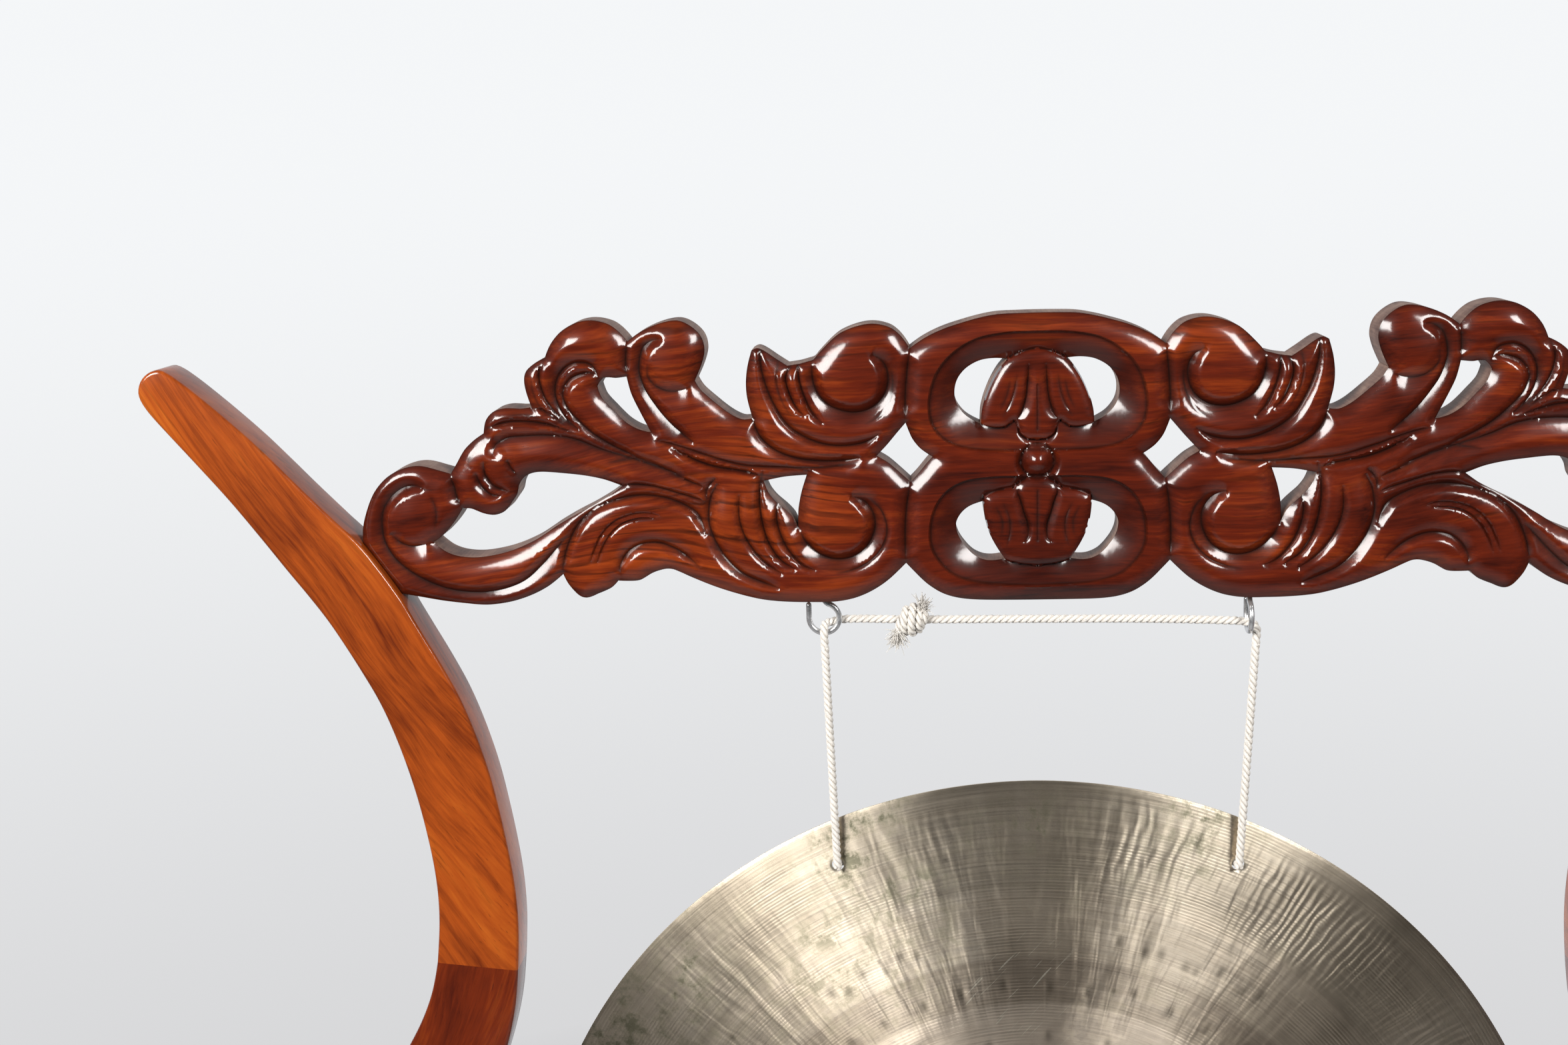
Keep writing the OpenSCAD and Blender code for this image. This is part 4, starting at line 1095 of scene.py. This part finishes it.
def gong(material):
    low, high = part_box("gong")
    centre = (low + high) / 2
    radius = (high.x - low.x) / 2
    bulge = (high.y - low.y) - GONG_THICK
    rings, spokes = ((96, 400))

    def circle(r, count, x=0.0, z=0.0, turn=0.0):
        a = 2 * np.pi * (np.arange(count) + turn) / count
        return np.stack([x + r * np.cos(a), z + r * np.sin(a)], 1)

    loops = [circle(radius, spokes), *[circle(HOLE_R, 32, x, HOLE_Z) for x in (-HOLE_X, HOLE_X)]]
    inner = [circle(radius - 0.5 * MM, spokes, turn=0.5), circle(radius - RIM_WIDTH, spokes)]
    inner += [
        circle(radius * i / rings, max(12, int(spokes * min(1, 1.6 * i / rings))), turn=0.5 * (i % 2))
        for i in range(1, rings)
    ]
    inner = np.vstack(inner)
    for x in (-HOLE_X, HOLE_X):
        inner = inner[np.hypot(inner[:, 0] - x, inner[:, 1] - HOLE_Z) > 2.1 * HOLE_R]
        inner = np.vstack([inner, *[circle(HOLE_R * k, 32, x, HOLE_Z, 0.5) for k in (1.12, 1.4, 1.8)]])
    # finer points where the sheet is marked
    marks, pits = gong_marks(), gong_pits()
    finer = []
    for far, lean, size in [(*m[:2], 1.0) for m in marks] + [(*p[:2], 0.45) for p in pits]:
        middle = np.array((far * math.sin(lean), far * math.cos(lean))) * MM
        inner = inner[np.hypot(*(inner - middle).T) > 7.2 * size * MM]
        for ring, count in ((0, 1), (1.2, 6), (2.4, 12), (3.8, 16), (5.4, 18)):
            finer.append(circle(ring * size * MM, count, *middle))
    inner = np.vstack([inner, thinned(np.vstack(finer) / MM, 0.25) * MM, [(0, 0)]])
    flat, triangles = filled(loops, inner, 1e-7)
    x, z = flat[:, 0], flat[:, 1]
    r = np.hypot(x, z)
    dent, worn = gong_dents(x / MM, z / MM, marks, pits)
    rim = np.clip((r - (radius - RIM_WIDTH)) / RIM_WIDTH, 0, 1)
    hole_gap = np.min([np.hypot(x - hole_x, z - HOLE_Z) for hole_x in (-HOLE_X, HOLE_X)], axis=0) - HOLE_R
    lip = np.clip(1 - hole_gap / (0.45 * HOLE_R), 0, 1)
    half = GONG_THICK / 2 * (1 - 0.45 * rim ** 2 - 0.45 * lip ** 2)
    middle = -bulge * (0.5 - (r / radius) ** 2) + dent
    sides = [np.stack([centre.x + x, centre.y + middle + face * half, centre.z + z], 1) for face in (-1, 1)]
    count = len(flat)
    edges = dict.fromkeys((p, q) for t in triangles for p, q in zip(t, t[1:] + t[:1]))
    faces = triangles + [tuple(count + i for i in reversed(t)) for t in triangles]
    faces += [(q, p, count + p, count + q) for p, q in edges if (q, p) not in edges]
    piece = new_piece("gong_disc", np.vstack(sides), faces, material, "gong", ["gong"],
                      smooth=50.0)
    store_values(piece, "worn", np.concatenate([worn, worn]))
    store_values(piece, "lip", np.concatenate([lip, lip]))


# ---------------------------------------------------------------- rope and hooks

ROPE_LAY = 11.0 * MM  # length of one full turn of the three strands
STRAND_SHARE, STRAND_OFFSET = 0.485, 0.515  # a strand's radius and place, as shares of the rope's radius
WIRE_R, RING_R = 1.6 * MM, 8.4 * MM  # the hooks' wire, and the middle of its ring
TURN_L = 8 * MM  # how much of each drop bends with the turn over its hook


def run_along(path):
    """How far along a path each of its points lies."""
    return np.concatenate([[0], np.cumsum(np.linalg.norm(np.diff(path, axis=0), axis=1))])


def transported(path):
    """Unit vectors along and across a path at each point, carried along it without twisting."""
    tangent = np.gradient(path, axis=0)
    tangent /= np.linalg.norm(tangent, axis=1, keepdims=True)
    start = np.cross(tangent[0], (0.3, 0.5, 0.81))
    side = [start / np.linalg.norm(start)]
    for t in tangent[1:]:
        s = side[-1] - t * (side[-1] @ t)
        side.append(s / np.linalg.norm(s))
    side = np.array(side)
    return tangent, side, np.cross(tangent, side)


def tube(path, radius, sides):
    """Vertices, faces and (along, round) coordinates of a tube with rounded ends."""
    path = np.asarray(path, float)
    radius = np.full(len(path), radius) if np.isscalar(radius) else np.asarray(radius, float)
    tangent, side, up = transported(path)

    def cap(at, sign, degrees):
        angle = math.radians(degrees)
        centre = path[at] + sign * tangent[at] * radius[at] * math.sin(angle)
        return centre, radius[at] * math.cos(angle), side[at], up[at]

    stations = [cap(0, -1, degrees) for degrees in (88, 65, 35)]
    stations += zip(path, radius, side, up)
    stations += [cap(-1, 1, degrees) for degrees in (35, 65, 88)]
    around = 2 * np.pi * np.arange(sides) / sides
    vertices, coordinates, run, before = [], [], 0.0, stations[0][0]
    for c, r, s, u in stations:
        run += np.linalg.norm(c - before)
        before = c
        for w in around:
            vertices.append(c + r * (math.cos(w) * s + math.sin(w) * u))
            coordinates.append((run, w * 0.0024, 0.0))
    faces = []
    for base in range(0, len(vertices) - sides, sides):
        for k in range(sides):
            n = (k + 1) % sides
            faces.append((base + k, base + n, base + sides + n, base + sides + k))
    faces.append(tuple(range(sides - 1, -1, -1)))
    faces.append(tuple(range(len(vertices) - sides, len(vertices))))
    return vertices, faces, coordinates


def resampled(path, spacing):
    path = np.asarray(path, float)
    run = run_along(path)
    at = np.linspace(0, run[-1], max(2, int(round(run[-1] / spacing)) + 1))
    return np.stack([np.interp(at, run, path[:, k]) for k in range(3)], 1)


def join_meshes(parts):
    vertices, faces, coordinates = [], [], []
    for v, f, c in parts:
        base = len(vertices)
        vertices += list(v)
        faces += [tuple(base + i for i in face) for face in f]
        coordinates += list(c)
    return vertices, faces, coordinates


def laid_rope(path, radius, phase=0.0):
    """Three strands twisted round a path. Their third coordinate says how deep in the rope they lie."""
    path = resampled(path, 0.7 * MM)
    _, side, up = transported(path)
    run = run_along(path)
    tree = tree_of(path)
    parts = []
    for k in range(3):
        turn = phase - run / ROPE_LAY * 2 * np.pi + k * 2 * np.pi / 3
        spread = np.cos(turn)[:, None] * side + np.sin(turn)[:, None] * up
        vertices, faces, coordinates = tube(
            path + radius * STRAND_OFFSET * spread, radius * STRAND_SHARE, sides=10
        )
        # how deep each strand's surface lies in the rope, which the cotton darkens as painted shade
        sunk = [1 - min(1.0, max(0.0, (tree.find(v)[2] / radius - 0.62) / 0.30)) for v in vertices]
        parts.append((vertices, faces, [(a, b, h) for (a, b, _), h in zip(coordinates, sunk)]))
    return join_meshes(parts)


def rope_piece(name, mesh_parts, material, body, replaces):
    vertices, faces, coordinates = mesh_parts
    piece = new_piece(name, vertices, faces, material, body, replaces, smooth=180)
    layer = piece.data.uv_layers.new(name="lay")
    for loop in piece.data.loops:
        along, around, _ = coordinates[loop.vertex_index]
        layer.data[loop.index].uv = (along * 900, around * 900)
    store_values(piece, "sunk", np.array([c[2] for c in coordinates]))
    return piece


def fray(root, direction, count, length, spread, yarn=0.24 * MM):
    """A tuft of loose yarns that leaves root in about one direction."""
    parts = []
    direction = np.asarray(direction, float) / np.linalg.norm(direction)
    for _ in range(count):
        lean = direction + spread * rng.normal(size=3)
        lean /= np.linalg.norm(lean)
        curl = rng.normal(size=3) * 0.55
        reach = length * rng.uniform(0.55, 1.1)
        start = np.asarray(root, float) + rng.normal(size=3) * 1.1 * MM
        t = np.linspace(0, 1, 7)[:, None]
        wave = 0.04 * np.sin(9 * t + rng.uniform(0, 6))
        line = start + reach * (t * lean + t ** 2 * 0.35 * curl + wave * curl)
        thick = yarn * rng.uniform(0.7, 1.6)
        parts.append(tube(line, thick * (1 - 0.45 * t[:, 0]), sides=5))
    return join_meshes(parts)


def hook_wire(node, material, face_front):
    """A screw hook's wire: ring, reverse bend and shank, from the CAD hook's box."""
    low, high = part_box(node)
    wire = (high.y - low.y if face_front else high.x - low.x) / 2
    ring = ((high.x - low.x if face_front else high.y - low.y) - 2 * wire) / 2
    middle = (low + high) / 2
    centre = Vector((middle.x, middle.y, low.z + wire + ring))
    lift = math.radians(70)
    bend = ring * math.cos(lift) / (1 - math.cos(lift))
    line = [(-ring, 7.6 * MM), (-ring, 4 * MM), (-ring, 2 * MM)]
    line += [(ring * math.cos(a), ring * math.sin(a)) for a in np.linspace(math.pi, 2 * math.pi + lift, 60)]
    top = (ring + bend) * math.sin(lift)
    line += [
        (bend + bend * math.cos(a), top + bend * math.sin(a))
        for a in np.linspace(math.pi + lift, math.pi, 24)[1:]
    ]
    line += [(0, top + 6 * MM), (0, high.z - centre.z - wire)]
    path = [
        centre + (Vector((across, 0, height)) if face_front else Vector((0, -across, height)))
        for across, height in line
    ]
    vertices, faces, _ = tube(resampled(path, 0.5 * MM), wire, sides=20)
    new_piece(f"{node}_wire", vertices, faces, material, "root", [node], smooth=180)


def towards(a, b, distance):
    return a + (b - a) / np.linalg.norm(b - a) * distance


def hanging_rope(material):
    """The rope's spans, strands and knot, on the same route as its CAD nodes."""
    left_ring, right_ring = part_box("left_hook"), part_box("right_hook")
    left_drop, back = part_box("rope_left_drop"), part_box("rope_back_span")
    rope_r = (left_drop[1].y - left_drop[0].y) / 2
    lap = rope_r + WIRE_R + 0.4 * MM
    left_x = (left_ring[0].x + left_ring[1].x) / 2
    right_x = (right_ring[0].x + right_ring[1].x) / 2
    bottom_z = left_ring[0].z + WIRE_R
    ring_z = bottom_z + RING_R
    hole_z = (back[0].z + back[1].z) / 2
    left_top = np.array((left_x, 0, bottom_z))
    right_top = np.array((right_x + lap, 0, bottom_z))
    left_hole = np.array((back[0].x + rope_r, 0, hole_z))
    right_hole = np.array((back[1].x - rope_r, 0, hole_z))
    knot = np.array((-68, 5.6, 0)) * MM + (0, 0, ring_z - 1.7 * MM)
    left_wrap = [
        (left_x + 17 * MM, lap + 3.6 * MM, ring_z - 1.6 * MM),
        (left_x + 9 * MM, lap + 4.6 * MM, ring_z - 2.2 * MM),
        (left_x + 4.6 * MM, lap + 3.9 * MM, ring_z - 3 * MM),
        (left_x + 1.6 * MM, lap + 2.2 * MM, bottom_z + lap + 0.6 * MM),
        (left_x, lap - 0.6 * MM, bottom_z + lap),
        (left_x, 1.3 * MM, bottom_z + 3.1 * MM),
        left_top,
    ]
    right_wrap = [
        right_top,
        (right_x + lap - 1.3 * MM, 0, bottom_z + 3.1 * MM),
        (right_x + 0.6 * MM, 0, bottom_z + lap),
        (right_x - 4 * MM, 0.1 * MM, bottom_z + lap + 0.9 * MM),
        (right_x - 14 * MM, 0.6 * MM, bottom_z + lap + 1.4 * MM),
    ]
    middle = [(60 * MM, 3 * MM, ring_z - 2 * MM), (0, 4.5 * MM, ring_z - 1.8 * MM), knot]
    left_turn_end = towards(left_top, left_hole, TURN_L)
    right_turn_end = towards(right_top, right_hole, TURN_L)

    # the span turns down over both hooks
    span = [right_turn_end, towards(right_top, right_hole, TURN_L / 2), *right_wrap, *middle, *left_wrap,
            towards(left_top, left_hole, TURN_L / 2), left_turn_end]
    smooth_span = spline(span, 0.8 * MM)
    cut = int(np.argmin(np.linalg.norm(smooth_span - knot, axis=1)))
    for name, part, top, end, replaced in (
        ("rope_span_right", smooth_span[:cut + 1], right_top, right_turn_end,
         ["rope_right_turn", "rope_top_span"]),
        ("rope_span_left", smooth_span[cut:], left_top, left_turn_end, ["rope_left_turn"]),
    ):
        piece = rope_piece(name, laid_rope(part, rope_r), material, None, replaced)
        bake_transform(piece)
    for name, start, stop, body, node in (
        ("rope_strand_left", left_turn_end, left_hole, "left_strand", "rope_left_drop"),
        ("rope_strand_right", right_turn_end, right_hole, "right_strand", "rope_right_drop"),
    ):
        piece = rope_piece(name, laid_rope([start, stop], rope_r), material, None, [node])
        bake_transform(piece)
    behind = back[1].y - rope_r
    half = [(right_hole[0], y * MM, hole_z) for y in (-0.6, 2.2, 4.6)]
    half += [(right_hole[0] - 0.8 * MM, 6.8 * MM, hole_z)]
    half += [(right_hole[0] - x * MM, behind, hole_z) for x in (3.4, 9)]
    route = spline(half + [(-x, y, z) for x, y, z in reversed(half)], 0.8 * MM)
    rope_piece("rope_strand_back", laid_rope(route, rope_r), material, "back_strand", ["rope_back_span"])
    tied_knot(knot, rope_r, material)


def tied_knot(knot, rope_r, material):
    """The rope's two ends wound round each other, with frayed tails."""
    t = np.linspace(0, 1, 90)
    wind = 2 * np.pi * 2.6 * t + 0.6
    girth = rope_r * (2.05 + 0.75 * np.sin(np.pi * t))
    coil = np.stack([
        knot[0] + (t - 0.5) * 10.5 * MM + 1.5 * MM * np.sin(wind + 0.8),
        knot[1] - 0.5 * MM + girth * np.cos(wind),
        knot[2] + girth * 1.12 * np.sin(wind),
    ], 1)
    up_end = knot + np.array((5.5, -3.5, 7.5)) * MM
    down_end = knot + np.array((-7.5, -3.8, -5.5)) * MM
    parts = [laid_rope(coil, rope_r * 0.97, 1.0)]
    for start, halfway, end in (
        (coil[-1], (7.0, -4.6, 3.0), up_end), (coil[0], (-7.2, -4.6, -1.0), down_end)
    ):
        tail = spline([start, knot + np.array(halfway) * MM, end], 1 * MM)
        parts.append(laid_rope(tail, rope_r * 0.92))
    parts.append(fray(up_end, (0.35, -0.45, 0.8), 130, 6.0 * MM, 0.45))
    parts.append(fray(down_end, (-0.15, -0.45, -0.85), 210, 8.5 * MM, 0.42))
    rope_piece("rope_tied_knot", join_meshes(parts), material, "root", ["rope_knot"])


# ---------------------------------------------------------------- hardware

HEAD_R, HEAD_H = 6.5 * MM, 4.5 * MM
SOCKET_R, SOCKET_D = 2.3 * MM, 2.0 * MM
# The crossbar bolt: its seat on the post, and how far its head lies behind it
SEAT_X, SEAT_RISE, POST_THROUGH = 0.3615, 0.022, 0.0396
SEAT_ANGLE = math.atan2(29, 20)


def dome_bolt(name, node, at, direction, material):
    """A dome-head bolt whose head's flat face is at a point, with its hexagon socket."""
    edge = 0.8 * MM
    profile = [(0, 0), (3.0 * MM, 0), (HEAD_R - 0.3 * MM, 0), (HEAD_R, -0.35 * MM), (HEAD_R, -edge)]
    for k in range(1, 9):
        a = math.radians(90 * k / 9)
        profile.append((HEAD_R * math.cos(a) * 0.985 + 0.1 * MM, -edge - (HEAD_H - edge) * math.sin(a)))
    profile = [p for p in profile if p[0] > SOCKET_R or p[1] > -0.5 * MM]
    profile += [(SOCKET_R + 0.25 * MM, -HEAD_H * 0.985), (SOCKET_R, -HEAD_H + 0.25 * MM),
                (SOCKET_R, -HEAD_H + SOCKET_D), (0, -HEAD_H + SOCKET_D + 0.3 * MM)]
    vertices, faces = lathe(profile)
    turn = Vector(direction).to_track_quat("Z", "Y").to_matrix()
    placed = []
    for x, y, z in vertices:
        r, a = math.hypot(x, y), math.atan2(y, x)
        if 0.1 * MM < r < SOCKET_R * 1.05:
            flat = math.cos(math.pi / 6) / math.cos((a % (math.pi / 3)) - math.pi / 6)
            x, y = x * flat * 1.08, y * flat * 1.08
        placed.append(turn @ Vector((x, y, z)) + Vector(at))
    new_piece(name, placed, faces, material, "root", [node], smooth=35)


def hardware(steel):
    """The bolts' heads; the foot screws keep their CAD shape."""
    for side, sign in (("left", -1), ("right", 1)):
        inner = Vector((-sign * math.sin(SEAT_ANGLE), 0, math.cos(SEAT_ANGLE)))
        seat = Vector((sign * SEAT_X, 0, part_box("carved_crossbar")[0].z + SEAT_RISE))
        dome_bolt(f"{side}_seat_bolt", f"{side}_crossbar_bolt", seat - inner * POST_THROUGH, inner, steel)
        low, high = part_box(f"{side}_rail_bolt")
        outer = low.x if side == "left" else high.x
        at = Vector((outer - sign * HEAD_H, 0, (low.z + high.z) / 2))
        dome_bolt(f"{side}_leg_bolt", f"{side}_rail_bolt", at, (-sign, 0, 0), steel)
        paint(f"{side}_foot_screws", steel)


def pads(material):
    for side in ("left", "right"):
        low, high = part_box(f"{side}_foot_pads")
        radius, thick = (high.x - low.x) / 2, high.z - low.z
        profile = [(0, 0), (radius - 1.2 * MM, 0), (radius - 0.4 * MM, 0.3 * MM), (radius, 1.1 * MM),
                   (radius - 0.3 * MM, thick - 0.4 * MM), (radius - 0.8 * MM, thick), (0, thick)]
        vertices, faces = lathe(profile)
        parts = [
            ([(v[0] + (low.x + high.x) / 2, v[1] + y, v[2] + low.z) for v in vertices], faces, ())
            for y in (low.y + radius, high.y - radius)
        ]
        every, every_face, _ = join_meshes(parts)
        new_piece(f"{side}_pads", every, every_face, material, "root", [f"{side}_foot_pads"])


# ---------------------------------------------------------------- everything

add_camera()
add_lights()
add_floor()
hanging_rope(cotton())
zinc = plated_steel("zinc_wire", (0.80, 0.81, 0.83), 0.24, 0.85)
steel = plated_steel("bolt_steel", (0.70, 0.70, 0.71), 0.30)
hook_wire("left_hook", zinc, True)
hook_wire("right_hook", zinc, False)
carved_crossbar(lacquered_wood(
    "crossbar_lacquer", (0.28, 0.042, 0.0050), (0.094, 0.0100, 0.0024), (0.020, 0.0026, 0.0015),
    grain_angle=3, seed=11, cavity_shade=True, figure=0.75, blotch=0.34,
), sawn_wood("crossbar_sides"))
stand()
gong(gong_bronze((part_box("gong")[0].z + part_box("gong")[1].z) / 2))
hardware(steel)
pads(rubber())
brass = plated_steel("insert_brass", (0.80, 0.62, 0.30), 0.30)
for side in ("left", "right"):
    paint(f"{side}_crossbar_insert", brass)
    paint(f"{side}_rail_insert", brass)
    paint(f"{side}_splice_dowels", bare_wood(f"{side}_dowel_wood"))
